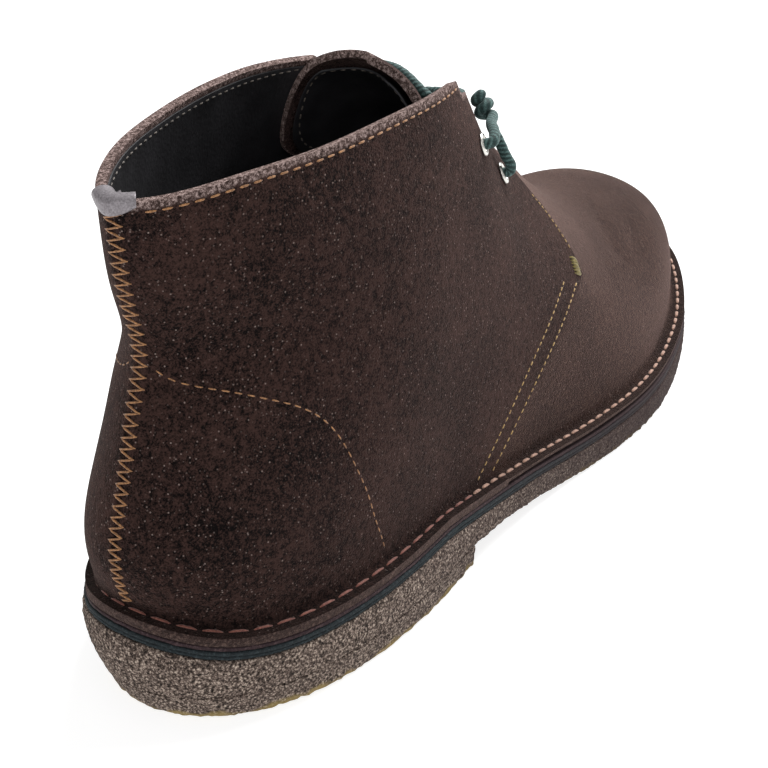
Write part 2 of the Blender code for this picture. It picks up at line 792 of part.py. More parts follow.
def make_soles(crepe, midsole, sock):
    mid_top = FLANGE_THICK + SEAT_GAP
    crepe_top = mid_top + MIDSOLE_THICK + SEAT_GAP
    plate("midsole", STATIONS, (0.2, 1.0, lambda x, z: z - mid_top),
          (0.4, 1.0, lambda x, z: z - mid_top - MIDSOLE_THICK), midsole)
    plate("outsole", STATIONS, (0.8, 1.0, lambda x, z: z - crepe_top),
          (0.6, 0.6, lambda x, z: sole_bottom(x)), crepe)
    lift = [s for s in STATIONS if s <= HEEL_BREAST]
    plate("heel_lift", lift, (0.5, 0.6, lambda x, z: HEEL_HEIGHT - SEAT_GAP),
          (-1.4, 0.3, lambda x, z: 0.0), crepe)
    inside = -WALL - 0.7 - FLANGE_WIDTH
    plate("insole", STATIONS, (inside, 0.0, lambda x, z: z + 0.4),
          (inside, 0.0, lambda x, z: z - FLANGE_THICK), sock)


def main():
    for obj in list(bpy.data.objects):
        bpy.data.objects.remove(obj, do_unlink=True)
    suede = material("suede", (0.058, 0.036, 0.031), 0.95)
    tongue_suede = material("tongue_suede", (0.062, 0.039, 0.033), 0.95)
    crepe = material("crepe_rubber", (0.17, 0.13, 0.10), 0.85)
    midsole = material("midsole_rubber", (0.022, 0.026, 0.034), 0.7)
    sock = material("sock_leather", (0.022, 0.021, 0.024), 0.6)
    binding = material("tab_fabric", (0.33, 0.33, 0.34), 0.5)
    metal = material("eyelet_steel", (0.72, 0.72, 0.70), 0.25, 1.0)
    lace = material("lace_cord", (0.035, 0.075, 0.070), 0.85)
    make_upper(suede)
    make_tongue(tongue_suede)
    make_heel_tab(binding)
    make_soles(crepe, midsole, sock)
    names = {(0, -1): "eyelet_lower_outer", (0, 1): "eyelet_lower_inner",
             (1, -1): "eyelet_upper_outer", (1, 1): "eyelet_upper_inner"}
    for key, name in names.items():
        make_eyelet(name, *EYELET_FRAMES[key], metal)
    bar, over = lace_paths()
    tube("lace_cross", bar, LACE_RADIUS, lace)
    tube("lace_top", over, LACE_RADIUS, lace)
    cord("lace_knot", knot_path(), LACE_RADIUS, lace)


main()
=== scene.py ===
"""Looks of a right-foot suede chukka boot: open lacing, stitched down onto a crepe sole.

Lengths in the tables and functions are millimetres in the last's own frame: toe along +X,
outer side of the foot at -Y, floor at Z = 0.  place() turns them into the part's metres.
"""

import json
import math

import bpy
import numpy as np
from mathutils import Matrix, Vector, noise
from mathutils.bvhtree import BVHTree

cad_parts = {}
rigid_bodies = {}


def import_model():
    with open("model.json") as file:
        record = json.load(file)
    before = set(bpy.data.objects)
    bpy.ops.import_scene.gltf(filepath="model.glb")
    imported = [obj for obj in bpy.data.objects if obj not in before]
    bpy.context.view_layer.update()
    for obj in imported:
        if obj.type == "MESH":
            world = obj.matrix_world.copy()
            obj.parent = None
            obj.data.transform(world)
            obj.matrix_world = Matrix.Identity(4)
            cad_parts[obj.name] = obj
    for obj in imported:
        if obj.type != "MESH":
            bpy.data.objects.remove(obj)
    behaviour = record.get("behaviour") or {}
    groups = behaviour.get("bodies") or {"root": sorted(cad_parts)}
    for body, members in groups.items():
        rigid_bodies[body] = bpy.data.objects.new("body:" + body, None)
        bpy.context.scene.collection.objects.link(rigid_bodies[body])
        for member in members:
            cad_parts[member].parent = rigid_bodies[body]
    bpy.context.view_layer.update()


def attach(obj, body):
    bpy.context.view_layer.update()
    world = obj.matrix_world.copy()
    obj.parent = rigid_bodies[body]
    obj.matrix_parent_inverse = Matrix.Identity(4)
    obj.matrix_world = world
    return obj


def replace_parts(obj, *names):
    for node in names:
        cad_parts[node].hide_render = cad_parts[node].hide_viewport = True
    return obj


bl_info = {
    "name": "Suede Chukka Boot",
    "version": (1, 0, 0),
    "blender": (4, 5, 0),
    "location": "View3D > Sidebar > Boot",
    "description": "Dresses the boot's solids in suede, leather, crepe, thread and cord",
    "category": "Add Mesh",
}

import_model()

MM = 0.001
ORIGIN = np.array((152.03, 1.13, 0.0))   # plan centre of the boot: the part's origin

# ---- the last and the layers on it (mm; t runs from the feather line 0 to the ridge 1) ----
HEEL_AXIS = 80.0          # station where the rounded heel meets the straight waist
TOE_START = 238.0         # station where the toe begins to close
FOOT_LENGTH = 304.0       # station of the toe tip at the feather line
TOE_FULLNESS = 2.25       # 2 would close the toe as an ellipse; more is squarer
HEEL_FEATHER_LIFT = 6.3   # rise of the feather line at the back seam
HEEL_LIFT_RUN = 24.0      # how far forward that rise fades
WALL = 1.4                # vamp and lining together
QUARTER_STEP = 1.2        # the quarters stand this far proud of the vamp
FLANGE_WIDTH = 6.0        # stitched-down edge beyond the feather line
HEEL_TRIM = 2.4           # that edge is narrower round the inner heel
TOE_TRIM = 0.9            # and at the toe
FLANGE_THICK = 2.0        # of the stitched-down edge
TURN_FROM = 0.42          # share of that edge's width where it turns up into the wall
MIDSOLE_THICK = 3.3
UNDER_EDGE = 0.3          # from the stitched-down edge down to the midsole's top
VAMP_FOOT = 108.0         # station where the vamp's stitched-down edge begins
VAMP_BACK = 150.0         # station of its back edge at the throat
VAMP_WAIST = 200.0        # station ahead of which its rows no longer fan out
QUARTER_GIRTH = 205.0     # mm of surface for t from 0 to 1 at the collar
SEAM_GIRTH = 210.0        # at the back seam
VAMP_GIRTH = 78.0         # and over the vamp
QUARTER_FRONT = 175.5     # foremost station of the quarter, at the bar tack
QUARTER_FOOT = 114.6      # station where its front edge meets the sole
CORNER_T = 0.445          # t of the front edge at the bar tack
FRONT_SLOPE = math.radians(30.0)   # of that edge above the floor
CREPE_TOP = 16.0          # height below which the heel block leans
HEEL_LEAN = (4.5, -2.4)   # how far its foot stands forward and outward
HEEL_HEIGHT = 7.5
HEEL_BREAST = 92.0        # station of the heel's front face
SOCK_INSET = 2.3          # the sock's edge lies this far inside the feather line
INNER_CORNER = 5.0        # the inner quarter's collar corner stands this far forward
AT_SEAM = 1e-6            # stations start just off the back seam, so that each keeps its side
FAR_OFF = 100.0           # UV distance that keeps the painted shade at the sole or the loose fibres off an edge

# Cross-sections: half widths at the feather line, extra width above it, height of the
# steep side, half width of the flat over the ridge, heights of ridge and feather line.
SECTION_COLUMNS = ("x", "outer", "inner", "belly", "rise", "crest", "ridge_z", "feather_z", "ridge_y")
SECTIONS = (
    (80, 34.5, 33.5, 3.0, 55.0, 28.0, 168.0, 22.0, 0.0),
    (95, 34.8, 33.2, 3.0, 53.0, 27.8, 161.0, 20.2, 0.0),
    (112, 35.6, 33.2, 3.0, 48.0, 27.0, 144.0, 18.2, 0.0),
    (130, 37.0, 34.0, 2.5, 42.0, 26.0, 121.0, 16.5, 0.0),
    (155, 40.2, 37.5, 2.0, 34.0, 25.0, 103.0, 14.3, 1.0),
    (180, 44.0, 42.5, 2.0, 27.0, 25.0, 87.0, 13.8, 2.0),
    (205, 46.0, 47.0, 1.5, 21.8, 25.0, 72.4, 14.5, 2.5),
    (230, 44.0, 48.0, 1.5, 18.5, 26.0, 65.0, 16.2, 2.5),
    (255, 39.5, 44.8, 2.0, 17.8, 27.5, 62.8, 19.3, 2.0),
    (280, 35.5, 40.3, 2.5, 16.8, 28.0, 61.8, 23.5, 1.6),
    (304, 33.0, 36.8, 3.0, 15.0, 28.3, 59.0, 28.0, 1.4),
)

# Back of the heel: x of the back seam, and how pointed each level is in plan.
BACK_COLUMNS = ("z", "seam_x", "side_power", "seam_power")
BACK = (
    (22, 1.2, 2.5, 2.3),
    (29, -0.8, 2.45, 2.2),
    (37, -3.6, 2.4, 2.05),
    (44, -4.4, 2.3, 1.95),
    (54, -2.4, 2.25, 1.75),
    (66, 0.8, 2.15, 1.55),
    (77, 3.8, 2.1, 1.42),
    (87, 6.6, 2.0, 1.38),
    (95, 5.6, 2.0, 1.42),
    (102, 3.4, 2.0, 1.47),
    (112, 1.5, 2.0, 1.53),
    (124, 0.0, 2.0, 1.58),
    (142, -2.0, 2.0, 1.6),
    (167, -4.0, 2.0, 1.6),
)

COLLAR_COLUMNS = ("x", "z")
COLLAR = (
    (-5, 124.4),
    (5, 125.3),
    (20, 127.3),
    (40, 128.6),
    (60, 129.9),
    (80, 130.6),
    (100, 130.2),
    (112, 129.2),
    (140, 127.0),
)

# Half gap between the quarters, from the collar corner down to the bar tack.
FACING_COLUMNS = ("x", "half_gap")
FACING = (
    (104.5, 22.6),
    (106, 22.6),
    (108, 22.0),
    (112, 20.6),
    (115, 19.4),
    (121, 16.9),
    (125, 15.2),
    (130, 13.6),
    (135, 12.9),
    (140, 13.7),
    (147, 17.4),
    (155, 21.2),
    (160, 23.1),
    (164, 24.6),
    (167, 26.3),
    (170, 28.3),
    (172, 30.0),
    (174, 32.0),
    (175.5, 35.4),
)

# Underside of the crepe, along the boot.
SOLE_COLUMNS = ("x", "bottom_z")
SOLE = (
    (-12, 7.5),
    (92, 7.5),
    (110, 6.2),
    (130, 3.7),
    (150, 1.2),
    (165, 0.0),
    (215, 0.0),
    (235, 0.6),
    (255, 2.6),
    (280, 6.8),
    (310, 12.6),
)

# Tongue, from its tucked end up to its top: centre line, half width,
# how far the edges fall back and drop, and its middle across the boot.
TONGUE_COLUMNS = ("x", "z", "half", "back", "drop", "y")
TONGUE = (
    (168, 92.2, 14.0, 0.0, 7.5, 0.5),
    (160, 96.6, 17.0, 0.0, 11.5, 0.5),
    (152, 100.0, 19.0, 0.0, 20.5, 0.5),
    (146, 102.8, 20.5, 0.0, 28.4, 0.5),
    (138, 108.4, 20.6, 2.0, 31.0, 0.1),
    (128, 116.2, 21.6, 8.6, 20.5, 0.8),
    (119, 121.8, 23.0, 16.7, 17.6, 2.2),
    (111.2, 127.0, 20.1, 12.2, 9.7, 2.5),
    (104.7, 130.6, 13.5, 6.6, 2.2, 2.5),
    (100.9, 133.1, 4.2, 3.8, 0.0, 2.5),
)

# Eyelets: station and half gap of each pair, lower pair first.
EYELETS = ((134, 22.8), (115.5, 24.7))
LACE_RADIUS = 1.45
RIB_PITCH = 1.25          # of the braid's fine ribs, along the lace
RIB_STARTS = 3            # ribs side by side round it
KNOT_MIDDLE = (129.9, -18.8, 117.7)
KNOT_AXIS = (0.19, 0.47, 0.86)      # the lace winds round this direction
KNOT_TURNS = 1.8
KNOT_RADIUS = 1.5         # of the turns' centre line
KNOT_LENGTH = 6.0         # along the axis
KNOT_PHASE = 2.6          # where the first turn begins
KNOT_STEPS = 25

# Rolled ring and barrel of an eyelet: radius, and height over the quarter's face.
EYELET_PROFILE = (
    (1.9, -2.9), (1.9, 0.25), (1.95, 0.55), (2.1, 0.8), (2.38, 0.93), (2.66, 0.9), (2.9, 0.76),
    (3.05, 0.55), (3.1, 0.35), (3.05, 0.2), (2.4, 0.2), (2.2, 0.05), (2.2, -2.9), (1.9, -2.9),
)

# Soft streaks that fan out over the vamp from the foot of the lacing:
# both ends as station and t, half width and height in mm.
CREASES = (
    (157.0, 0.74, 196.0, 0.86, 2.6, -0.55),
    (158.0, 0.69, 204.0, 0.74, 2.4, -0.60),
    (163.0, 0.64, 206.0, 0.64, 2.8, -0.50),
    (168.0, 0.60, 200.0, 0.56, 3.0, -0.35),
    (157.0, 0.715, 200.0, 0.80, 2.2, 0.35),
    (160.0, 0.665, 205.0, 0.69, 2.4, 0.35),
    (214.0, 0.50, 232.0, 0.84, 7.0, -0.45),
    (222.0, 0.48, 242.0, 0.78, 6.0, 0.35),
)

# Counter stitch line on each quarter, as station and t.
COUNTER_LINE = (
    (9.1, 0.337), (17.2, 0.322), (30.4, 0.307), (41.5, 0.286), (46.6, 0.271),
    (51.6, 0.246), (57.7, 0.191), (63.8, 0.106), (67.8, 0.020),
)

# Rows of fine stitches: their pitch, and the share of it that the thread shows.
COLLAR_STITCH = (3.4, 0.76)
INNER_STITCH = (2.8, 0.66)
FRONT_STITCH = (2.35, 0.74)
FACING_STITCH = (2.2, 0.76)
COUNTER_STITCH = (3.0, 0.72)
TONGUE_STITCH = (2.6, 0.66)
FRONT_ROWS = (1.1, 5.4)       # the two rows' distances from the quarter's front edge
EDGE_STITCH_INSET = 2.5       # of the thick stitches from the cut edge
HEEL_STITCH_END = 100.0       # station where the thick thread changes from copper to rose


# ---- the last's surface ----
def column(rows, names, name):
    """One named column of a table."""
    return [row[names.index(name)] for row in rows]


def spline(xs, ys, flat_start=False):
    """Smooth curve through a table column; flat_start levels its first end."""
    xs = np.asarray(xs, float)
    ys = np.asarray(ys, float)
    count = len(xs)
    step = np.diff(xs)
    matrix = np.zeros((count, count))
    right = np.zeros(count)
    matrix[0, 0] = 1.0
    matrix[-1, -1] = 1.0
    for i in range(1, count - 1):
        matrix[i, i - 1] = step[i - 1]
        matrix[i, i] = 2 * (step[i - 1] + step[i])
        matrix[i, i + 1] = step[i]
        right[i] = 6 * ((ys[i + 1] - ys[i]) / step[i] - (ys[i] - ys[i - 1]) / step[i - 1])
    if flat_start:
        matrix[0, 0] = 2 * step[0]
        matrix[0, 1] = step[0]
        right[0] = 6 * (ys[1] - ys[0]) / step[0]
    bend = np.linalg.solve(matrix, right)

    def value(x):
        x = np.asarray(x, float)
        i = np.clip(np.searchsorted(xs, x) - 1, 0, count - 2)
        a = (xs[i + 1] - x) / step[i]
        b = (x - xs[i]) / step[i]
        curve = ((a ** 3 - a) * bend[i] + (b ** 3 - b) * bend[i + 1]) * step[i] ** 2 / 6
        return a * ys[i] + b * ys[i + 1] + curve

    return value


SECTION = {
    name: spline(column(SECTIONS, SECTION_COLUMNS, "x"), column(SECTIONS, SECTION_COLUMNS, name),
                 name != "feather_z")
    for name in SECTION_COLUMNS[1:]
}
HEEL = {
    name: spline(column(BACK, BACK_COLUMNS, "z"), column(BACK, BACK_COLUMNS, name))
    for name in BACK_COLUMNS[1:]
}
collar_z = spline(column(COLLAR, COLLAR_COLUMNS, "x"), column(COLLAR, COLLAR_COLUMNS, "z"))


def toe_closing(x):
    """1 along the foot, falling to 0 at the toe tip."""
    q = np.clip((x - TOE_START) / (FOOT_LENGTH - TOE_START), 0.0, 1.0)
    return (1.0 - q ** TOE_FULLNESS) ** (1.0 / TOE_FULLNESS)


def section(x, t, side):
    """Points of the last in upright planes at x; t runs feather 0 to ridge 1."""
    close = toe_closing(x)
    middle = SECTION["ridge_y"](x)
    low = SECTION["feather_z"](x)
    half = np.where(side < 0, SECTION["outer"](x), SECTION["inner"](x)) - side * middle
    half = half * close
    belly = SECTION["belly"](x) * close
    crest = SECTION["crest"](x) * close
    rise = SECTION["rise"](x) * close
    high = low + (SECTION["ridge_z"](x) - low) * close
    s = 1.0 - t
    y = half * s ** 3 + 3 * (half + belly) * s * s * t + 3 * crest * s * t * t
    z = low * s ** 3 + 3 * (low + rise) * s * s * t + 3 * high * s * t * t + high * t ** 3
    return np.stack(np.broadcast_arrays(x, middle + side * y, z), axis=-1)


def last(v, t):
    """Points of the last.  v is a station, negative on the outer side; t beyond 1 crosses the ridge."""
    v, t = np.broadcast_arrays(np.asarray(v, float), np.asarray(t, float))
    side = np.where(v < 0, -1.0, 1.0)
    side = np.where(t > 1, -side, side)
    t = np.where(t > 1, 2.0 - t, t)
    station = np.minimum(np.abs(v), FOOT_LENGTH)
    fore = section(np.maximum(station, HEEL_AXIS), t, side)
    turn = 0.5 * math.pi * np.minimum(station, HEEL_AXIS) / HEEL_AXIS
    cosine = np.maximum(np.cos(turn), 0.0)
    z = fore[..., 2]
    fade = np.maximum(0.0, 1.0 - 2.2 * t) ** 1.5
    z = z + HEEL_FEATHER_LIFT * np.exp(-(station / HEEL_LIFT_RUN) ** 2) * fade
    reach = HEEL_AXIS - HEEL["seam_x"](z)
    x = HEEL_AXIS - reach * cosine ** (2.0 / HEEL["side_power"](z))
    y = side * np.abs(fore[..., 1]) * np.sin(turn) ** (2.0 / HEEL["seam_power"](z))
    heel = np.stack((x, y, z), axis=-1)
    return np.where((station < HEEL_AXIS)[..., None], heel, fore)


def unit(vectors):
    """Vectors scaled to length 1."""
    return vectors / np.maximum(np.linalg.norm(vectors, axis=-1, keepdims=True), 1e-12)


def last_normal(v, t):
    """Outward directions of the last."""
    v, t = np.broadcast_arrays(np.asarray(v, float), np.asarray(t, float))
    low = np.maximum(t - 0.004, 0.0)
    up = last(v, t + 0.004) - last(v, low)
    along = last(v + 0.25, t) - last(v - 0.25, t)
    normal = np.cross(up, along)
    tip = (np.abs(v) > FOOT_LENGTH - 0.02)[..., None]
    return unit(np.where(tip, np.array((1.0, 0.0, 0.25)), normal))


def on_last(v, t, lift):
    """Points lift mm outside the last."""
    return last(v, t) + last_normal(v, t) * np.asarray(lift)[..., None]


def feather(v):
    """Feather line points and their outward directions in plan."""
    v = np.asarray(v, float)
    foot = last(v, 0.0)
    reach = np.minimum(0.6, np.maximum(0.01, (FOOT_LENGTH - np.abs(v)) * 0.5))
    run = last(v + reach, 0.0) - last(v - reach, 0.0)
    out = np.stack((-run[..., 1], run[..., 0], np.zeros_like(run[..., 0])), axis=-1)
    tip = (np.abs(v) > FOOT_LENGTH - 0.005)[..., None]
    return foot, unit(np.where(tip, np.array((1.0, 0.0, 0.0)), out))


def first_crossing(values, ts):
    """For each row of values the t where it first turns negative, 1 if it never does."""
    below = values < 0
    hit = np.argmax(below, axis=1)
    found = below.any(axis=1) & (hit > 0)
    hit = np.maximum(hit, 1)
    rows = np.arange(len(values))
    before = values[rows, hit - 1]
    after = values[rows, hit]
    t = ts[hit - 1] + (ts[hit] - ts[hit - 1]) * before / np.where(found, before - after, 1.0)
    return np.where(found, t, 1.0)


def quarter_top(v, drop=0.0):
    """t of the quarter's upper edge: the collar, then the facing."""
    v = np.asarray(v, float)
    ts = np.linspace(0.05, 1.0, 500)
    points = last(v[:, None], ts[None, :])
    station = np.abs(v)
    collar = first_crossing(collar_z(points[..., 0]) - drop - points[..., 2], ts)
    at = station - np.where(v > 0, INNER_CORNER * np.clip((140.0 - station) / 30.0, 0.0, 1.0), 0.0)
    gap = np.interp(at, column(FACING, FACING_COLUMNS, "x"), column(FACING, FACING_COLUMNS, "half_gap"))
    middle = np.where(station > HEEL_AXIS, SECTION["ridge_y"](np.maximum(station, HEEL_AXIS)), 0.0)
    facing = first_crossing(np.abs(points[..., 1] - middle[:, None]) - gap[:, None] - drop, ts)
    facing = np.where(at < FACING[0][0], 1.0, facing)
    return np.minimum(collar, facing)


def ease(share):
    """Smooth step from 0 to 1."""
    share = np.clip(share, 0.0, 1.0)
    return share * share * (3.0 - 2.0 * share)


def edge_reach(v, trim=1.0):
    """Reach of the stitched-down edge beyond the feather line."""
    heel = HEEL_TRIM * ease((v + 30.0) / 55.0) * ease((135.0 - v) / 50.0)
    toe = TOE_TRIM * ease((np.abs(v) - 240.0) / 50.0)
    return FLANGE_WIDTH - trim * (heel + toe)


def edge_wave(station):
    """Slight waviness of the stitched-down edge, in mm of height."""
    return 0.18 * np.sin(station / 7.3) * np.sin(station / 19.0 + 1.0)


def wall_start(station):
    """t where the wall leaves the rounded turn into the stitched-down edge."""
    rise = SECTION["rise"](np.maximum(station, HEEL_AXIS)) * toe_closing(station)
    return np.clip(2.6 / (3 * np.maximum(rise, 1e-3)), 0.01, 0.1)


def toe_stations(start, count):
    """Stations from start to the toe tip, closing up as the toe turns inwards."""
    q = max(0.0, (start - TOE_START) / (FOOT_LENGTH - TOE_START))
    angle = np.linspace(math.asin(q ** (TOE_FULLNESS / 2)), math.pi / 2, count)
    return TOE_START + (FOOT_LENGTH - TOE_START) * np.sin(angle) ** (2 / TOE_FULLNESS)


# ---- mesh helpers ----
def deselect():
    """Object mode with nothing selected, because operators act on all that is selected."""
    if bpy.context.object and bpy.context.object.mode != "OBJECT":
        bpy.ops.object.mode_set(mode="OBJECT")
    bpy.ops.object.select_all(action="DESELECT")


def activate(piece):
    """Select one piece alone and make it active."""
    deselect()
    piece.select_set(True)
    bpy.context.view_layer.objects.active = piece


def place(points):
    """Millimetres in the last's frame to metres in the part's frame."""
    return (np.asarray(points, float) - ORIGIN) * MM


def lofted(name, points, uv=None, closed=False):
    """Grid primitive laid over points[i, j]; its faces look along dj x di.  uv is in mm."""
    rows, columns = points.shape[:2]
    deselect()
    bpy.ops.mesh.primitive_grid_add(x_subdivisions=columns - 1, y_subdivisions=rows - 1, size=1.0)
    piece = bpy.context.object
    piece.name = name
    piece.data.name = name
    piece.data.vertices.foreach_set("co", place(points).reshape(-1))
    if uv is not None:
        index = np.empty(len(piece.data.loops), dtype=np.int32)
        piece.data.loops.foreach_get("vertex_index", index)
        piece.data.uv_layers[0].data.foreach_set("uv", (uv.reshape(-1, 2)[index] * MM).reshape(-1))
    piece.data.update()
    bpy.ops.object.mode_set(mode="EDIT")
    bpy.ops.mesh.select_all(action="SELECT")
    bpy.ops.mesh.remove_doubles(threshold=0.004 * MM)
    bpy.ops.mesh.dissolve_degenerate(threshold=0.002 * MM)
    if closed:
        bpy.ops.mesh.normals_make_consistent(inside=False)
    bpy.ops.object.mode_set(mode="OBJECT")
    bpy.ops.object.shade_smooth()
    return piece


def apply_modifier(piece, kind, **settings):
    """Add a modifier, set it up and apply it."""
    activate(piece)
    modifier = piece.modifiers.new(kind.lower(), kind)
    for name, value in settings.items():
        setattr(modifier, name, value)
    bpy.ops.object.modifier_apply(modifier=modifier.name)


def thicken(piece, thickness, round_edge, rim_slot=1):
    """Give a sheet its thickness inwards, with softened cut edges in the next material slot."""
    apply_modifier(piece, "SOLIDIFY", thickness=thickness * MM, offset=-1.0,
                   material_offset_rim=rim_slot)
    apply_modifier(piece, "BEVEL", width=round_edge * MM, segments=2, limit_method="ANGLE",
                   angle_limit=math.radians(55), use_clamp_overlap=True)
    bpy.ops.object.shade_smooth()


def join(name, pieces):
    """Pieces of one kind become one mesh."""
    deselect()
    for piece in pieces:
        piece.select_set(True)
    bpy.context.view_layer.objects.active = pieces[0]
    bpy.ops.object.join()
    pieces[0].name = name
    pieces[0].data.name = name
    return pieces[0]


def dress(piece, materials):
    """Give a piece its materials and its body."""
    for material in materials:
        piece.data.materials.append(material)
    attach(piece, "root")
    return piece


def roughen(points, normals, size, height, seed):
    """Points moved along their normals by smooth random amounts; size is the lump size in mm."""
    shift = Vector((seed * 13.7, seed * 5.1, seed * 9.3))
    flat = points.reshape(-1, 3)
    amounts = [noise.noise(Vector(p) / size + shift) for p in flat]
    moved = flat + normals.reshape(-1, 3) * (np.array(amounts) * height)[:, None]
    return moved.reshape(points.shape)


def surface_tree(piece):
    """Search tree over a finished piece, in mm of the last's frame."""
    mesh = piece.data
    co = np.empty(len(mesh.vertices) * 3)
    mesh.vertices.foreach_get("co", co)
    points = co.reshape(-1, 3) / MM + ORIGIN
    return BVHTree.FromPolygons(points.tolist(), [tuple(p.vertices) for p in mesh.polygons])


def press(tree, points):
    """Nearest points on a surface with their outward directions."""
    spots = []
    ways = []
    for point in points:
        where, normal, _, _ = tree.find_nearest(Vector(point))
        spots.append(where)
        ways.append(normal)
    return np.array(spots), np.array(ways)


def run_along(points):
    """Distance along a polyline at each of its points."""
    return np.concatenate(([0.0], np.cumsum(np.linalg.norm(np.diff(points, axis=0), axis=1))))


def resample(points, spacing):
    """Points spaced evenly along a polyline."""
    points = np.asarray(points, float)
    run = run_along(points)
    count = max(2, int(round(run[-1] / spacing)) + 1)
    at = np.linspace(0, run[-1], count)
    return np.stack([np.interp(at, run, points[:, k]) for k in range(3)], axis=1)


def smooth_path(knots, spacing):
    """Evenly spaced points along a smooth curve through the knots."""
    knots = np.asarray(knots, float)
    run = run_along(knots)
    axes = [spline(run, knots[:, k]) for k in range(3)]
    fine = np.stack([a(np.linspace(0, run[-1], 600)) for a in axes], axis=1)
    return resample(fine, spacing)


# ---- stitches ----
def thread_model():
    """One stitch: a strand that dips into the leather at both ends, 1 mm long, wide and high."""
    deselect()
    bpy.ops.mesh.primitive_cylinder_add(vertices=8, radius=0.5 * MM, depth=1.0 * MM,
                                        end_fill_type="TRIFAN", rotation=(0, math.pi / 2, 0))
    bpy.ops.object.transform_apply(location=False, rotation=True, scale=False)
    piece = bpy.context.object
    bpy.ops.object.mode_set(mode="EDIT")
    bpy.ops.mesh.select_all(action="SELECT")
    bpy.ops.mesh.bisect(plane_co=(-0.25 * MM, 0, 0), plane_no=(1, 0, 0))
    bpy.ops.mesh.select_all(action="SELECT")
    bpy.ops.mesh.bisect(plane_co=(0.25 * MM, 0, 0), plane_no=(1, 0, 0))
    bpy.ops.object.mode_set(mode="OBJECT")
    points = np.array([v.co[:] for v in piece.data.vertices]) / MM
    faces = [tuple(p.vertices) for p in piece.data.polygons]
    bpy.data.objects.remove(piece, do_unlink=True)
    ends = np.abs(points[:, 0]) > 0.45
    points[ends, 1:] *= 0.45
    points[ends, 2] -= 0.42
    return points, faces


def sew(name, spots, along, up, size, material):
    """Joined mesh of stitches; size is length, width and height in mm, one row or one each."""
    model, faces = thread_model()
    size = np.broadcast_to(np.asarray(size, float), (len(spots), 3))
    x_axis = unit(along)
    y_axis = unit(np.cross(up, x_axis))
    z_axis = np.cross(x_axis, y_axis)
    scaled = model[None, :, :] * size[:, None, :]
    points = (np.asarray(spots)[:, None, :] + scaled[..., :1] * x_axis[:, None, :]
              + scaled[..., 1:2] * y_axis[:, None, :] + scaled[..., 2:] * z_axis[:, None, :])
    count = len(model)
    all_faces = [tuple(i + k * count for i in face) for k in range(len(spots)) for face in faces]
    mesh = bpy.data.meshes.new(name)
    mesh.from_pydata(place(points).reshape(-1, 3).tolist(), [], all_faces)
    piece = bpy.data.objects.new(name, mesh)
    bpy.context.scene.collection.objects.link(piece)
    activate(piece)
    bpy.ops.object.shade_smooth()
    return dress(piece, [material])


def dashes(tree, path, pitch, share, width):
    """One row of stitches along a path on a surface: spots, directions, normals and sizes."""
    spots, ways = press(tree, resample(path, pitch))
    middle, _ = press(tree, (spots[1:] + spots[:-1]) / 2)
    along = spots[1:] - spots[:-1]
    up = unit(ways[1:] + ways[:-1])
    length = np.linalg.norm(along, axis=1) * share
    wide = np.full(len(length), width)
    return middle, along, up, np.stack((length, wide, wide * 0.9), axis=1)


# ---- materials ----
def hex_colour(text):
    """sRGB hex to linear RGBA."""
    parts = [int(text[i:i + 2], 16) / 255 for i in (0, 2, 4)]
    return tuple(c / 12.92 if c <= 0.04045 else ((c + 0.055) / 1.055) ** 2.4 for c in parts) + (1.0,)


def boot_colour(name):
    """Linear RGBA of one of the colours in the panel."""
    return tuple(getattr(bpy.context.scene.boot_colours, name))


def add_node(tree, kind, inputs=(), ramp=(), **settings):
    """Add a shader node, set its options, and give its inputs values or links."""
    made = tree.nodes.new(kind)
    for name, value in settings.items():
        setattr(made, name, value)
    for name, value in dict(inputs).items():
        if isinstance(value, bpy.types.NodeSocket):
            tree.links.new(value, made.inputs[name])
        else:
            made.inputs[name].default_value = value
    for number, (position, colour) in enumerate(ramp):
        elements = made.color_ramp.elements
        stop = elements[number] if number < 2 else elements.new(position)
        stop.position = position
        stop.color = colour
    return made


def new_material(name):
    """Empty node material and its node tree."""
    material = bpy.data.materials.new(name)
    material.use_nodes = True
    material.node_tree.nodes.clear()
    return material, material.node_tree


def per_mm(size):
    """Texture scale at which lumps or grains are about size mm across."""
    return 1.0 / (size * MM)


# Loose fibres at a cut edge near the collar, from their shadows to their pale ends.
RIM_TONES = ((0.40, hex_colour("2a211e")), (0.5, hex_colour("5d4c48")), (0.61, hex_colour("ae9a95")))


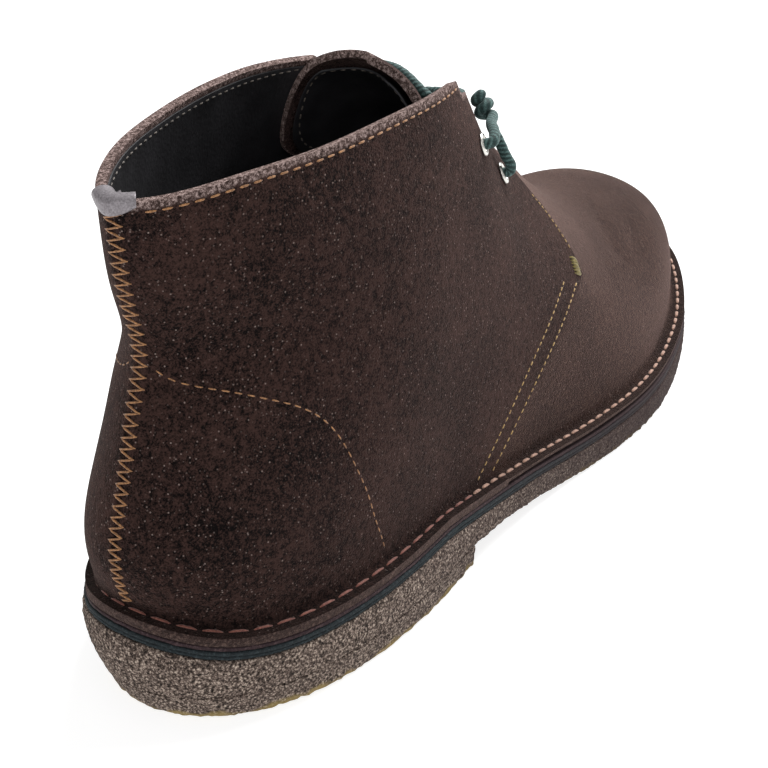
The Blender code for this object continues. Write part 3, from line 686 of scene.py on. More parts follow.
def suede(name, dark, light, speck, nap=0.5, specks=0.6, sheen=0.22, painted_light_height=None):
    """Split cowhide, sanded to a nap: matt, with fine tufts, pale fibre ends and slow changes where
    the nap lies differently.  The tufts are drawn twice as coarse as real ones, so that they show.
    The UV map is the distance from the edge at the sole, where the colour is darkened as painted
    shade, and from the collar, where loose fibres show.  Above a given height, in mm, the colour
    is lightened as painted light on the top."""
    material, tree = new_material(name)
    where = add_node(tree, "ShaderNodeTexCoord").outputs["Object"]
    cloud = add_node(tree, "ShaderNodeTexNoise",
                     {"Vector": where, "Scale": per_mm(22.0), "Detail": 2.0}).outputs["Fac"]
    tuft = add_node(tree, "ShaderNodeTexNoise",
                    {"Vector": where, "Scale": per_mm(nap), "Detail": 2.0, "Roughness": 0.8}).outputs["Fac"]
    fine = add_node(tree, "ShaderNodeTexNoise",
                    {"Vector": where, "Scale": per_mm(1.7), "Detail": 3.0, "Roughness": 0.65}).outputs["Fac"]
    slow = add_node(tree, "ShaderNodeMath", {0: cloud, 1: 0.45, 2: fine}, operation="MULTIPLY_ADD")
    both = add_node(tree, "ShaderNodeMath", {0: tuft, 1: 1.35, 2: slow.outputs[0]}, operation="MULTIPLY_ADD")
    tone = add_node(tree, "ShaderNodeMapRange", {0: both.outputs[0], 1: 1.20, 2: 1.60, 3: 0.0, 4: 1.0})
    base = add_node(tree, "ShaderNodeValToRGB", {0: tone.outputs[0]},
                    ramp=((0.0, hex_colour(dark)), (1.0, boot_colour(light))))

    ends = add_node(tree, "ShaderNodeTexVoronoi", {"Vector": where, "Scale": per_mm(1.0), "Randomness": 1.0})
    dots = add_node(tree, "ShaderNodeMapRange",
                    {0: ends.outputs["Distance"], 1: 0.11, 2: 0.26, 3: specks, 4: 0.0})
    chance = add_node(tree, "ShaderNodeSeparateXYZ", {0: ends.outputs["Color"]})
    rare = add_node(tree, "ShaderNodeMath", {0: chance.outputs[0], 1: 2.4}, operation="POWER")
    share = add_node(tree, "ShaderNodeMath", {0: dots.outputs[0], 1: rare.outputs[0]}, operation="MULTIPLY")
    colour = add_node(tree, "ShaderNodeMix",
                      {0: share.outputs[0], 6: base.outputs[0], 7: hex_colour(speck)},
                      data_type="RGBA").outputs[2]

    height = add_node(tree, "ShaderNodeSeparateXYZ", {0: where}).outputs[2]
    # Painted light: above the given height the colour fades towards a pale tone, for the light that falls on
    # the top of the vamp.
    if painted_light_height is not None:
        wavy = add_node(tree, "ShaderNodeMath", {0: cloud, 1: 16 * MM, 2: height}, operation="MULTIPLY_ADD")
        painted_top_light = add_node(tree, "ShaderNodeMapRange",
                          {0: wavy.outputs[0], 1: painted_light_height * MM, 2: (painted_light_height + 46) * MM, 3: 0.0, 4: 0.6})
        colour = add_node(tree, "ShaderNodeMix", {0: painted_top_light.outputs[0], 6: colour, 7: hex_colour("705d57")},
                          data_type="RGBA").outputs[2]

    fibres = add_node(tree, "ShaderNodeTexNoise", {"Vector": where, "Scale": per_mm(0.8), "Detail": 4.0,
                                                   "Roughness": 0.85}).outputs["Fac"]
    loose = add_node(tree, "ShaderNodeValToRGB", {0: fibres}, ramp=RIM_TONES)
    from_edges = add_node(tree, "ShaderNodeSeparateXYZ",
                          {0: add_node(tree, "ShaderNodeUVMap").outputs[0]})
    ragged = add_node(tree, "ShaderNodeMath", {0: fine, 1: 2.0 * MM, 2: from_edges.outputs[1]},
                      operation="MULTIPLY_ADD")
    high = add_node(tree, "ShaderNodeMapRange", {0: height, 1: 92 * MM, 2: 104 * MM, 3: 0.0, 4: 0.85})
    worn = add_node(tree, "ShaderNodeMapRange",
                    {0: ragged.outputs[0], 1: 2.2 * MM, 2: 2.9 * MM, 3: high.outputs[0], 4: 0.0})
    colour = add_node(tree, "ShaderNodeMix", {0: worn.outputs[0], 6: colour, 7: loose.outputs[0]},
                      data_type="RGBA").outputs[2]
    # Painted shade: the suede darkens towards the stitched-down edge at the sole, where the upper shades it.
    painted_sole_shade = add_node(tree, "ShaderNodeMapRange",
                      {0: from_edges.outputs[0], 1: 2.6 * MM, 2: 6.0 * MM, 3: 0.55, 4: 0.0})
    colour = add_node(tree, "ShaderNodeMix", {0: painted_sole_shade.outputs[0], 6: colour, 7: hex_colour("0d0908")},
                      data_type="RGBA").outputs[2]

    bump = add_node(tree, "ShaderNodeBump",
                    {"Height": both.outputs[0], "Distance": 0.3 * MM, "Strength": 1.0})
    shader = add_node(tree, "ShaderNodeBsdfPrincipled",
                      {"Base Color": colour, "Roughness": 0.95, "Specular IOR Level": 0.08,
                       "Sheen Weight": sheen, "Sheen Roughness": 0.32, "Sheen Tint": hex_colour("c4a49b"),
                       "Normal": bump.outputs[0]})
    add_node(tree, "ShaderNodeOutputMaterial", {"Surface": shader.outputs[0]})
    return material


def raw_suede():
    """Cut edge of the suede: loose fibres, pale and pinkish round the collar, dark near the sole, where
    the dark is partly painted shade.
    """
    material, tree = new_material("cut suede edge")
    where = add_node(tree, "ShaderNodeTexCoord").outputs["Object"]
    fibres = add_node(tree, "ShaderNodeTexNoise", {"Vector": where, "Scale": per_mm(0.8), "Detail": 4.0,
                                                   "Roughness": 0.85}).outputs["Fac"]
    pale = add_node(tree, "ShaderNodeValToRGB", {0: fibres}, ramp=RIM_TONES)
    # Dark fibres: partly their own tone, partly painted shade in the step beside the vamp and on the shaded
    # stitched-down edge.
    dark = add_node(tree, "ShaderNodeValToRGB", {0: fibres},
                    ramp=((0.36, hex_colour("140f0e")), (0.52, hex_colour("332623")),
                          (0.68, hex_colour("6d5a52"))))
    height = add_node(tree, "ShaderNodeSeparateXYZ", {0: where}).outputs[2]
    high = add_node(tree, "ShaderNodeMapRange", {0: height, 1: 90 * MM, 2: 104 * MM, 3: 0.0, 4: 1.0})
    colour = add_node(tree, "ShaderNodeMix", {0: high.outputs[0], 6: dark.outputs[0], 7: pale.outputs[0]},
                      data_type="RGBA")
    bump = add_node(tree, "ShaderNodeBump", {"Height": fibres, "Distance": 0.6 * MM, "Strength": 1.0})
    shader = add_node(tree, "ShaderNodeBsdfPrincipled",
                      {"Base Color": colour.outputs[2], "Roughness": 1.0, "Specular IOR Level": 0.05,
                       "Sheen Weight": 0.25, "Sheen Roughness": 0.5, "Sheen Tint": hex_colour("d8bdb5"),
                       "Normal": bump.outputs[0]})
    add_node(tree, "ShaderNodeOutputMaterial", {"Surface": shader.outputs[0]})
    return material


def lining_leather():
    """Black drum-dyed pigskin lining: fine pebbled grain with a low gloss."""
    material, tree = new_material("black lining leather")
    where = add_node(tree, "ShaderNodeTexCoord").outputs["Object"]
    grain = add_node(tree, "ShaderNodeTexVoronoi", {"Vector": where, "Scale": per_mm(0.9)},
                     feature="SMOOTH_F1").outputs["Distance"]
    soft = add_node(tree, "ShaderNodeTexNoise",
                    {"Vector": where, "Scale": per_mm(9.0), "Detail": 3.0}).outputs["Fac"]
    tone = add_node(tree, "ShaderNodeValToRGB", {0: soft},
                    ramp=((0.3, hex_colour("18171a")), (0.7, boot_colour("lining"))))
    bump = add_node(tree, "ShaderNodeBump", {"Height": grain, "Distance": 0.18 * MM, "Strength": 0.5})
    shader = add_node(tree, "ShaderNodeBsdfPrincipled",
                      {"Base Color": tone.outputs[0], "Roughness": 0.62, "Specular IOR Level": 0.4,
                       "Normal": bump.outputs[0]})
    add_node(tree, "ShaderNodeOutputMaterial", {"Surface": shader.outputs[0]})
    return material


def crepe_rubber():
    """Milled natural crepe: a torn, granular side, darker towards the toe, golden and ragged where it
    meets the floor."""
    material, tree = new_material("crepe rubber")
    where = add_node(tree, "ShaderNodeTexCoord").outputs["Object"]
    place_on_boot = add_node(tree, "ShaderNodeSeparateXYZ", {0: where})
    grit = add_node(tree, "ShaderNodeTexNoise",
                    {"Vector": where, "Scale": per_mm(0.62), "Detail": 4.0, "Roughness": 0.85}).outputs["Fac"]
    crumb = add_node(tree, "ShaderNodeTexVoronoi",
                     {"Vector": where, "Scale": per_mm(0.75)}).outputs["Distance"]
    mixed = add_node(tree, "ShaderNodeMath", {0: crumb, 1: -0.22, 2: grit}, operation="MULTIPLY_ADD")
    tone = add_node(tree, "ShaderNodeValToRGB", {0: mixed.outputs[0]},
                    ramp=((0.24, hex_colour("120d0b")), (0.34, hex_colour("4a3e37")),
                          (0.43, boot_colour("crepe")), (0.55, hex_colour("dccab9"))))
    patch = add_node(tree, "ShaderNodeTexNoise",
                     {"Vector": where, "Scale": per_mm(7.0), "Detail": 3.0}).outputs["Fac"]
    broken = add_node(tree, "ShaderNodeMath", {0: patch, 1: -6.0 * MM, 2: place_on_boot.outputs[2]},
                      operation="MULTIPLY_ADD")
    worn = add_node(tree, "ShaderNodeMapRange",
                    {0: broken.outputs[0], 1: -2.4 * MM, 2: -1.2 * MM, 3: 0.8, 4: 0.0})
    colour = add_node(tree, "ShaderNodeMix",
                      {0: worn.outputs[0], 6: tone.outputs[0], 7: hex_colour("a5905a")},
                      data_type="RGBA")
    # The colour darkens from the heel towards the toe.
    darker_to_toe = add_node(tree, "ShaderNodeMapRange",
                       {0: place_on_boot.outputs[0], 1: -115 * MM, 2: 40 * MM, 3: 0.0, 4: 0.86})
    darker = add_node(tree, "ShaderNodeMix",
                      {0: darker_to_toe.outputs[0], 6: colour.outputs[2], 7: hex_colour("3a2c2c")},
                      data_type="RGBA")
    bump = add_node(tree, "ShaderNodeBump",
                    {"Height": mixed.outputs[0], "Distance": 0.7 * MM, "Strength": 1.0})
    shader = add_node(tree, "ShaderNodeBsdfPrincipled",
                      {"Base Color": darker.outputs[2], "Roughness": 0.9, "Specular IOR Level": 0.2,
                       "Normal": bump.outputs[0]})
    add_node(tree, "ShaderNodeOutputMaterial", {"Surface": shader.outputs[0]})
    return material


def layered_rubber(name, dark, middle, light):
    """Thin rubber or fibre sheet in the pressed stack under the upper, buffed flush: matt and dusty,
    and darker towards the toe."""
    material, tree = new_material(name)
    where = add_node(tree, "ShaderNodeTexCoord").outputs["Object"]
    dust = add_node(tree, "ShaderNodeTexNoise",
                    {"Vector": where, "Scale": per_mm(0.7), "Detail": 4.0, "Roughness": 0.8}).outputs["Fac"]
    tone = add_node(tree, "ShaderNodeValToRGB", {0: dust},
                    ramp=((0.32, hex_colour(dark)), (0.55, boot_colour(middle)), (0.74, hex_colour(light))))
    length = add_node(tree, "ShaderNodeSeparateXYZ", {0: where}).outputs[0]
    # The colour darkens from the heel towards the toe.
    darker_to_toe = add_node(tree, "ShaderNodeMapRange", {0: length, 1: -60 * MM, 2: 50 * MM, 3: 0.0, 4: 0.7})
    colour = add_node(tree, "ShaderNodeMix",
                      {0: darker_to_toe.outputs[0], 6: tone.outputs[0], 7: hex_colour("3b2e2f")},
                      data_type="RGBA")
    bump = add_node(tree, "ShaderNodeBump", {"Height": dust, "Distance": 0.25 * MM, "Strength": 0.9})
    shader = add_node(tree, "ShaderNodeBsdfPrincipled",
                      {"Base Color": colour.outputs[2], "Roughness": 0.8, "Specular IOR Level": 0.2,
                       "Normal": bump.outputs[0]})
    add_node(tree, "ShaderNodeOutputMaterial", {"Surface": shader.outputs[0]})
    return material


def thread(name, dark, light):
    """Waxed polyester sewing thread: twisted, with a slight shine.  The twist is drawn twice as
    coarse as a real one, so that it shows."""
    material, tree = new_material(name)
    where = add_node(tree, "ShaderNodeTexCoord").outputs["Object"]
    twist = add_node(tree, "ShaderNodeTexNoise",
                     {"Vector": where, "Scale": per_mm(0.5), "Detail": 2.0, "Roughness": 0.6}).outputs["Fac"]
    tone = add_node(tree, "ShaderNodeValToRGB", {0: twist},
                    ramp=((0.35, hex_colour(dark)), (0.65, boot_colour(light))))
    bump = add_node(tree, "ShaderNodeBump", {"Height": twist, "Distance": 0.1 * MM, "Strength": 0.6})
    shader = add_node(tree, "ShaderNodeBsdfPrincipled",
                      {"Base Color": tone.outputs[0], "Roughness": 0.6, "Specular IOR Level": 0.4,
                       "Sheen Weight": 0.2, "Normal": bump.outputs[0]})
    add_node(tree, "ShaderNodeOutputMaterial", {"Surface": shader.outputs[0]})
    return material


def tab_leather():
    """Pearl-grey coated leather strip: smooth, fine grain, silvery sheen."""
    material, tree = new_material("pearl grey tab leather")
    where = add_node(tree, "ShaderNodeTexCoord").outputs["Object"]
    grain = add_node(tree, "ShaderNodeTexNoise",
                     {"Vector": where, "Scale": per_mm(0.45), "Detail": 3.0, "Roughness": 0.7}).outputs["Fac"]
    tone = add_node(tree, "ShaderNodeValToRGB", {0: grain},
                    ramp=((0.3, hex_colour("5d585b")), (0.7, boot_colour("heel_tab"))))
    bump = add_node(tree, "ShaderNodeBump", {"Height": grain, "Distance": 0.05 * MM, "Strength": 0.4})
    shader = add_node(tree, "ShaderNodeBsdfPrincipled",
                      {"Base Color": tone.outputs[0], "Roughness": 0.38, "Specular IOR Level": 0.5,
                       "Metallic": 0.35, "Normal": bump.outputs[0]})
    add_node(tree, "ShaderNodeOutputMaterial", {"Surface": shader.outputs[0]})
    return material


def nickel():
    """Nickel-plated brass eyelet, tumbled: satin with fine scratches."""
    material, tree = new_material("nickel plate")
    where = add_node(tree, "ShaderNodeTexCoord").outputs["Object"]
    scratch = add_node(tree, "ShaderNodeTexNoise", {"Vector": where, "Scale": per_mm(0.6), "Detail": 3.0,
                                                    "Roughness": 0.7}).outputs["Fac"]
    gloss = add_node(tree, "ShaderNodeMapRange", {0: scratch, 1: 0.3, 2: 0.7, 3: 0.2, 4: 0.36})
    bump = add_node(tree, "ShaderNodeBump", {"Height": scratch, "Distance": 0.02 * MM, "Strength": 0.5})
    shader = add_node(tree, "ShaderNodeBsdfPrincipled",
                      {"Base Color": boot_colour("eyelets"), "Metallic": 1.0, "Roughness": gloss.outputs[0],
                       "Normal": bump.outputs[0]})
    add_node(tree, "ShaderNodeOutputMaterial", {"Surface": shader.outputs[0]})
    return material


def braid():
    """Round polyester lace braided from dark teal yarn: fine slanting ribs in the mesh's UV map."""
    material, tree = new_material("teal braided lace")
    where = add_node(tree, "ShaderNodeTexCoord").outputs["Object"]
    yarn = add_node(tree, "ShaderNodeTexNoise",
                    {"Vector": where, "Scale": per_mm(0.35), "Detail": 3.0, "Roughness": 0.7}).outputs["Fac"]
    on_lace = add_node(tree, "ShaderNodeSeparateXYZ", {0: add_node(tree, "ShaderNodeUVMap").outputs[0]})
    girth = 2 * math.pi * LACE_RADIUS * MM
    climb = add_node(tree, "ShaderNodeMath", {0: on_lace.outputs[1], 1: 2 * math.pi / (RIB_PITCH * MM)},
                     operation="MULTIPLY")
    phase = add_node(tree, "ShaderNodeMath",
                     {0: on_lace.outputs[0], 1: RIB_STARTS * 2 * math.pi / girth, 2: climb.outputs[0]},
                     operation="MULTIPLY_ADD")
    rib = add_node(tree, "ShaderNodeMath", {0: phase.outputs[0]}, operation="SINE").outputs[0]
    mixed = add_node(tree, "ShaderNodeMath", {0: rib, 1: 0.16, 2: yarn}, operation="MULTIPLY_ADD")
    tone = add_node(tree, "ShaderNodeMapRange", {0: mixed.outputs[0], 1: 0.25, 2: 0.75, 3: 0.0, 4: 1.0})
    colour = add_node(tree, "ShaderNodeValToRGB", {0: tone.outputs[0]},
                      ramp=((0.0, hex_colour("13211f")), (0.55, boot_colour("lace")),
                            (1.0, hex_colour("587370"))))
    bump = add_node(tree, "ShaderNodeBump",
                    {"Height": mixed.outputs[0], "Distance": 0.12 * MM, "Strength": 0.8})
    shader = add_node(tree, "ShaderNodeBsdfPrincipled",
                      {"Base Color": colour.outputs[0], "Roughness": 0.75, "Specular IOR Level": 0.3,
                       "Sheen Weight": 0.3, "Sheen Tint": hex_colour("b5c6c4"), "Normal": bump.outputs[0]})
    add_node(tree, "ShaderNodeOutputMaterial", {"Surface": shader.outputs[0]})
    return material


def light_table():
    """White acrylic light table, lit from beneath, so that almost no shadow shows on it."""
    material, tree = new_material("white acrylic light table")
    where = add_node(tree, "ShaderNodeTexCoord").outputs["Object"]
    haze = add_node(tree, "ShaderNodeTexNoise",
                    {"Vector": where, "Scale": per_mm(40.0), "Detail": 2.0}).outputs["Fac"]
    tone = add_node(tree, "ShaderNodeValToRGB", {0: haze},
                    ramp=((0.3, hex_colour("9f9f9f")), (0.7, hex_colour("a3a3a3"))))
    shader = add_node(tree, "ShaderNodeBsdfPrincipled",
                      {"Base Color": tone.outputs[0], "Roughness": 0.6, "Specular IOR Level": 0.2,
                       "Emission Color": hex_colour("ffffff"), "Emission Strength": 0.8})
    add_node(tree, "ShaderNodeOutputMaterial", {"Surface": shader.outputs[0]})
    return material


MATERIALS = {}


def material_of(maker, *values):
    """Each material is made once and shared."""
    key = (maker.__name__,) + values
    if key not in MATERIALS:
        MATERIALS[key] = maker(*values)
    return MATERIALS[key]


def quarter_suede():
    return material_of(suede, "quarter suede", "080505", "quarter_suede", "a3918a", 0.5, 0.62, 0.2)


def vamp_suede():
    # 56.0 is the height in mm above which the vamp's colour is lightened as painted light on its top.
    return material_of(suede, "vamp suede", "070404", "vamp_suede", "a08d86", 0.5, 0.6, 0.5, 56.0)


def tongue_suede():
    return material_of(suede, "tongue suede", "1a1211", "tongue_suede", "a08d86", 0.55, 0.6)


def edge_suede():
    return material_of(raw_suede)


def black_lining():
    return material_of(lining_leather)


# ---- pieces ----
def flange_rows(v, lift, top_lift):
    """Rows from the cut outer edge of the stitched-down edge, up the rounded turn, to the wall."""
    foot, out = feather(v)
    station = np.abs(v)
    start = wall_start(station)
    wall = on_last(v, start, np.full_like(station, lift))
    wave = edge_wave(station)
    rows = []
    width = edge_reach(v)[:, None]
    for share in (1.0, 0.9, 0.77, 0.63, 0.52):
        row = foot + out * width * share
        row[:, 2] += top_lift + wave * (share - TURN_FROM) / 0.58
        rows.append(row)
    turn_from = foot + out * width * TURN_FROM + np.array((0.0, 0.0, top_lift))
    corner = foot + out * (lift + 0.15) + np.array((0.0, 0.0, top_lift + 0.1))
    for k in range(5):
        s = k / 5
        rows.append(turn_from * (1 - s) ** 2 + corner * 2 * s * (1 - s) + wall * s * s)
    return rows, start


def edge_map(grid, from_top=True):
    """UV in mm of a grid whose columns run from the edge at the sole to the collar: the distance from
    each.  from_top is False where the grid doesn't reach the collar."""
    step = np.linalg.norm(np.diff(grid, axis=1), axis=2)
    zero = np.zeros((len(grid), 1))
    low = np.concatenate((zero, np.cumsum(step, axis=1)), axis=1)
    high = np.concatenate((np.cumsum(step[:, ::-1], axis=1)[:, ::-1], zero), axis=1)
    return np.stack((low, high if from_top else high + FAR_OFF), axis=-1)


def crease_lift(v, t):
    """Height of the soft streaks at a point of the vamp."""
    total = np.zeros(np.broadcast(v, t).shape)
    for x0, t0, x1, t1, half_width, height in CREASES:
        run = np.array((x1 - x0, (t1 - t0) * VAMP_GIRTH))
        length = np.linalg.norm(run)
        run = run / length
        for side in (-1, 1):
            here = np.where(np.sign(v) == side, t, 2.0 - t)
            dx = np.abs(v) - x0
            dy = (here - t0) * VAMP_GIRTH
            along = (dx * run[0] + dy * run[1]) / length
            across = dx * run[1] - dy * run[0]
            fade = np.clip(np.sin(np.clip(along, 0, 1) ** 0.6 * math.pi), 0, 1)
            total += height * fade * np.exp(-(across / half_width) ** 2)
    return total


def make_vamp():
    """Vamp with the front of the stitched-down edge."""
    near = np.linspace(0.0, 1.0, 64)
    far = toe_stations(TOE_START, 56)[1:]
    toe_from = np.linspace(VAMP_WAIST, TOE_START, 28)[1:]
    half = np.linspace(0.0, 1.0, 62)
    parts = []
    maps = []
    for side in (-1, 1):
        v0 = side * np.concatenate((VAMP_FOOT + (VAMP_WAIST - VAMP_FOOT) * near, toe_from, far))
        lines, start = flange_rows(v0, 0.0, 0.0)
        for s in half:
            t = start + (1.0 - start) * s
            back = VAMP_FOOT + (VAMP_BACK - VAMP_FOOT) * np.clip(t[:len(near)] / 0.7, 0.0, 1.0)
            stations = np.concatenate((back + (VAMP_WAIST - back) * near, toe_from, far))
            v = side * stations
            smooth = 0.25 * np.sin(stations / 11.0) * np.sin(t * 9.0 + 1.0)
            lines.append(on_last(v, t, crease_lift(v, t) + 0.3 * smooth * toe_closing(stations)))
        points = np.stack(lines, axis=1)
        uv = edge_map(points, from_top=False)
        parts.append(points if side > 0 else points[:, ::-1])
        maps.append(uv if side > 0 else uv[:, ::-1])
    points = np.concatenate((parts[1], parts[0][:, 1:]), axis=1)
    piece = lofted("vamp", points, np.concatenate((maps[1], maps[0][:, 1:]), axis=1))
    dress(piece, [vamp_suede(), edge_suede()])
    thicken(piece, 1.0, 0.3)
    return piece


def quarter_stations():
    """Stations of the quarter's columns, closer together at its front."""
    return np.concatenate((np.linspace(0, 104, 78), np.linspace(105.2, 165, 50),
                           np.linspace(165.5, QUARTER_FRONT, 24)))


def smooth_run(values, width):
    """Moving average that keeps both ends."""
    kernel = np.hanning(2 * width + 3)[1:-1]
    padded = np.pad(values, width, mode="edge")
    smooth = np.convolve(padded, kernel / kernel.sum(), mode="valid")
    smooth[0] = values[0]
    smooth[-1] = values[-1]
    return smooth


def quarter_edge(side, drop=0.0):
    """Stations and the t of the quarter's top edge on one side."""
    stations = quarter_stations()
    dense = np.linspace(0.0, QUARTER_FRONT, 700)
    top = smooth_run(quarter_top(side * np.maximum(dense, AT_SEAM), drop), 4)
    return stations, np.interp(stations, dense, top)


def make_quarters():
    """Both quarters, joined at the back seam, with the back of the stitched-down edge."""
    parts = []
    maps = []
    for side in (-1, 1):
        stations, top = quarter_edge(side)
        foot = stations * QUARTER_FOOT / QUARTER_FRONT
        lines, start = flange_rows(side * np.maximum(foot, AT_SEAM), QUARTER_STEP, 0.25)
        for s in 1.0 - (1.0 - np.linspace(0.0, 1.0, 72)) ** 1.25:
            t = start + (top - start) * s
            where = foot + (stations - foot) * s
            v = side * np.maximum(where, AT_SEAM)
            seam = -0.5 * np.exp(-(last(v, t)[..., 1] / 0.55) ** 2) * (where < 20)
            swell = 0.25 * np.sin(where / 13.0 + 1.5 * side) * np.sin(t * 16.0)
            lines.append(on_last(v, t, QUARTER_STEP + seam + 0.6 * swell))
        parts.append(np.stack(lines, axis=1))
        maps.append(edge_map(parts[-1]))
    points = np.concatenate((parts[0][::-1], parts[1][1:]), axis=0)
    uv = np.concatenate((maps[0][::-1], maps[1][1:]), axis=0)
    piece = lofted("quarters", points, uv)
    dress(piece, [quarter_suede(), edge_suede()])
    thicken(piece, 2.3, 0.85)
    return piece


def make_lining():
    """Black leather lining of quarters and vamp."""
    parts = []
    for side in (-1, 1):
        stations, top = quarter_edge(side, 1.5)
        lines = []
        for s in np.linspace(0.0, 1.0, 48):
            t = 0.01 + (top - 0.01) * s
            lines.append(on_last(side * np.maximum(stations, AT_SEAM), t, np.full_like(stations, -0.95)))
        parts.append(np.stack(lines, axis=1))
    back = lofted("lining_back", np.concatenate((parts[0][::-1], parts[1][1:]), axis=0))
    stations = np.concatenate((np.linspace(152.0, TOE_START, 40), toe_stations(TOE_START, 24)[1:-1]))
    spread = np.linspace(0.02, 1.98, 64)
    front = lofted("lining_front", on_last(stations[:, None], spread[None, :],
                                           np.full((len(stations), len(spread)), -1.05)))
    piece = join("lining", [back, front])
    dress(piece, [black_lining()])
    thicken(piece, 0.5, 0.15, 0)
    return piece


def tongue_point(s, u):
    """Point of the tongue: s along from the tucked end 0 to the top 9, u across -1 to 1."""
    run = np.arange(len(TONGUE), dtype=float)
    line = {n: spline(run, column(TONGUE, TONGUE_COLUMNS, n))(s) for n in TONGUE_COLUMNS}
    wide = line["half"] * np.sin(0.5 * math.pi * u)
    share = (wide / np.maximum(line["half"], 0.1)) ** 2
    return np.stack((line["x"] - line["back"] * share, wide + line["y"],
                     line["z"] - line["drop"] * share), axis=-1)


def tongue_grid(along, across, depth):
    """Points depth mm behind the tongue's front face, and their directions."""
    s, u = np.meshgrid(along, across, indexing="ij")
    here = tongue_point(s, u)
    du = tongue_point(s, np.minimum(u + 0.02, 1)) - tongue_point(s, np.maximum(u - 0.02, -1))
    ds = tongue_point(np.minimum(s + 0.03, 9), u) - tongue_point(np.maximum(s - 0.03, 0), u)
    normal = unit(np.cross(du, ds))
    normal = np.where(normal[..., 2:] < 0, -normal, normal)
    return here - normal * depth, normal


def make_tongue():
    """Suede tongue, and its black lining set in from the edge."""
    along = np.concatenate((np.linspace(0, 8, 60), 9 - np.linspace(1, 0, 26)[1:] ** 2))
    across = np.linspace(-1, 1, 56)
    face, _ = tongue_grid(along, across, 0.0)
    to_side = (1.0 - np.abs(across))[None, :] * 20.0
    to_top = (9.0 - along)[:, None] * 11.0
    rim = np.minimum(to_side, to_top)
    uv = np.stack((np.full_like(rim, FAR_OFF), rim), axis=-1)
    tongue = lofted("tongue_suede", face[::-1], uv[::-1])
    dress(tongue, [tongue_suede(), edge_suede()])
    thicken(tongue, 2.0, 0.5)
    inset = np.linspace(-0.80, 0.80, 44)
    back, _ = tongue_grid(np.linspace(0.2, 8.35, 60), inset, 2.05)
    lining = lofted("tongue_lining", back[::-1])
    dress(lining, [black_lining()])
    thicken(lining, 0.55, 0.15, 0)
    return tongue, lining


def make_heel_tab():
    """Grey strip folded over the collar at the back seam."""
    half = 12.0
    v = np.linspace(-half, half, 33)
    v[len(v) // 2] = AT_SEAM
    top = quarter_top(v)
    edge = last(v, top)
    normal = unit(last_normal(v, top) * np.array((1.0, 1.0, 0.0)))
    outside = QUARTER_STEP + 1.05
    inside = -WALL - 1.0
    middle = (outside + inside) / 2
    radius = (outside - inside) / 2
    rows = [(-2.7, outside - 0.2), (-2.2, outside), (-1.5, outside + 0.08), (-0.8, outside + 0.1)]
    for a in np.linspace(0, math.pi, 11):
        rows.append((radius * math.sin(a) * 0.75, middle + (radius + 0.1) * math.cos(a)))
    rows += [(-1.2, inside), (-2.2, inside), (-3.2, inside), (-4.0, inside)]
    lines = []
    for rise, reach in rows:
        on_flap = rise < 0 and reach > 0
        rise = rise * (1.0 - 0.75 * (v / half) ** 2) if on_flap else np.full_like(v, rise)
        below = last(v, np.maximum(top + np.minimum(rise, 0.0) / SEAM_GIRTH, 0.0))
        lean = (below - edge) * np.array((1.0, 1.0, 0.0))
        lines.append(edge + lean + normal * reach + rise[:, None] * np.array((0.0, 0.0, 1.0)))
    piece = lofted("heel_tab_strip", np.stack(lines, axis=1))
    dress(piece, [material_of(tab_leather), material_of(tab_leather)])
    thicken(piece, 0.8, 0.3)
    return piece


def heel_lean(points):
    """Sole points moved by the lean of the heel block."""
    down = np.clip((CREPE_TOP - points[..., 2]) / CREPE_TOP, 0, 1)
    share = down * np.clip((135.0 - points[..., 0]) / 60.0, 0, 1)
    return points + np.array((HEEL_LEAN[0], HEEL_LEAN[1], 0.0)) * share[..., None]


def sole_bottom(x):
    """Underside of the crepe, with its corners eased."""
    spread = np.linspace(-6, 6, 13)
    tables = column(SOLE, SOLE_COLUMNS, "x"), column(SOLE, SOLE_COLUMNS, "bottom_z")
    return np.mean([np.interp(x + d, *tables) for d in spread], axis=0)


def sole_layer(name, stations, side_rows, across, relief=0.0, grit=1.6, seed=1):
    """Closed layer following the feather line.  side_rows are (reach beyond the stitched-down edge,
    share of its trim, height of a point) from the top edge down; across is the number of strips
    over top and bottom."""
    rings = {}
    for side in (-1, 1):
        loop = side * np.maximum(stations, AT_SEAM)
        foot, out = feather(loop)
        lines = []
        for reach, trim, height in side_rows:
            point = foot + out * (edge_reach(loop, trim) + reach)[:, None]
            point[:, 2] = height(point[:, 0], foot[:, 2])
            lines.append(heel_lean(point))
        rings[side] = lines
    loop = list(rings[-1])
    share = np.linspace(0, 1, across + 1)[1:-1]
    bottom = [rings[-1][-1] * (1 - k) + rings[1][-1] * k for k in share]
    top = [rings[1][0] * (1 - k) + rings[-1][0] * k for k in share]
    loop += bottom + rings[1][::-1] + top + [rings[-1][0]]
    points = np.stack(loop, axis=1)
    if relief:
        around = np.roll(points[:, :-1], -1, axis=1) - np.roll(points[:, :-1], 1, axis=1)
        along = np.gradient(points[:, :-1], axis=0)
        normal = unit(np.cross(around, along))
        sides = np.zeros(points.shape[1] - 1)
        count = len(side_rows)
        sides[:count] = 1
        sides[count + across - 1:2 * count + across - 1] = 1
        sides[0] = 0
        sides[2 * count + across - 2] = 0
        moved = roughen(points[:, :-1], normal * sides[None, :, None], grit, relief, seed)
        points = np.concatenate((moved, moved[:, :1]), axis=1)
    return lofted(name, points, closed=True)


def all_stations(step, last_station=None):
    """Stations from the back seam to the toe tip, or to a given station."""
    if last_station is not None:
        return np.linspace(0.0, last_station, int(last_station / step))
    fore = toe_stations(TOE_START, int(150 / step))
    return np.concatenate((np.linspace(0.0, TOE_START, int(TOE_START / step)), fore[1:]))


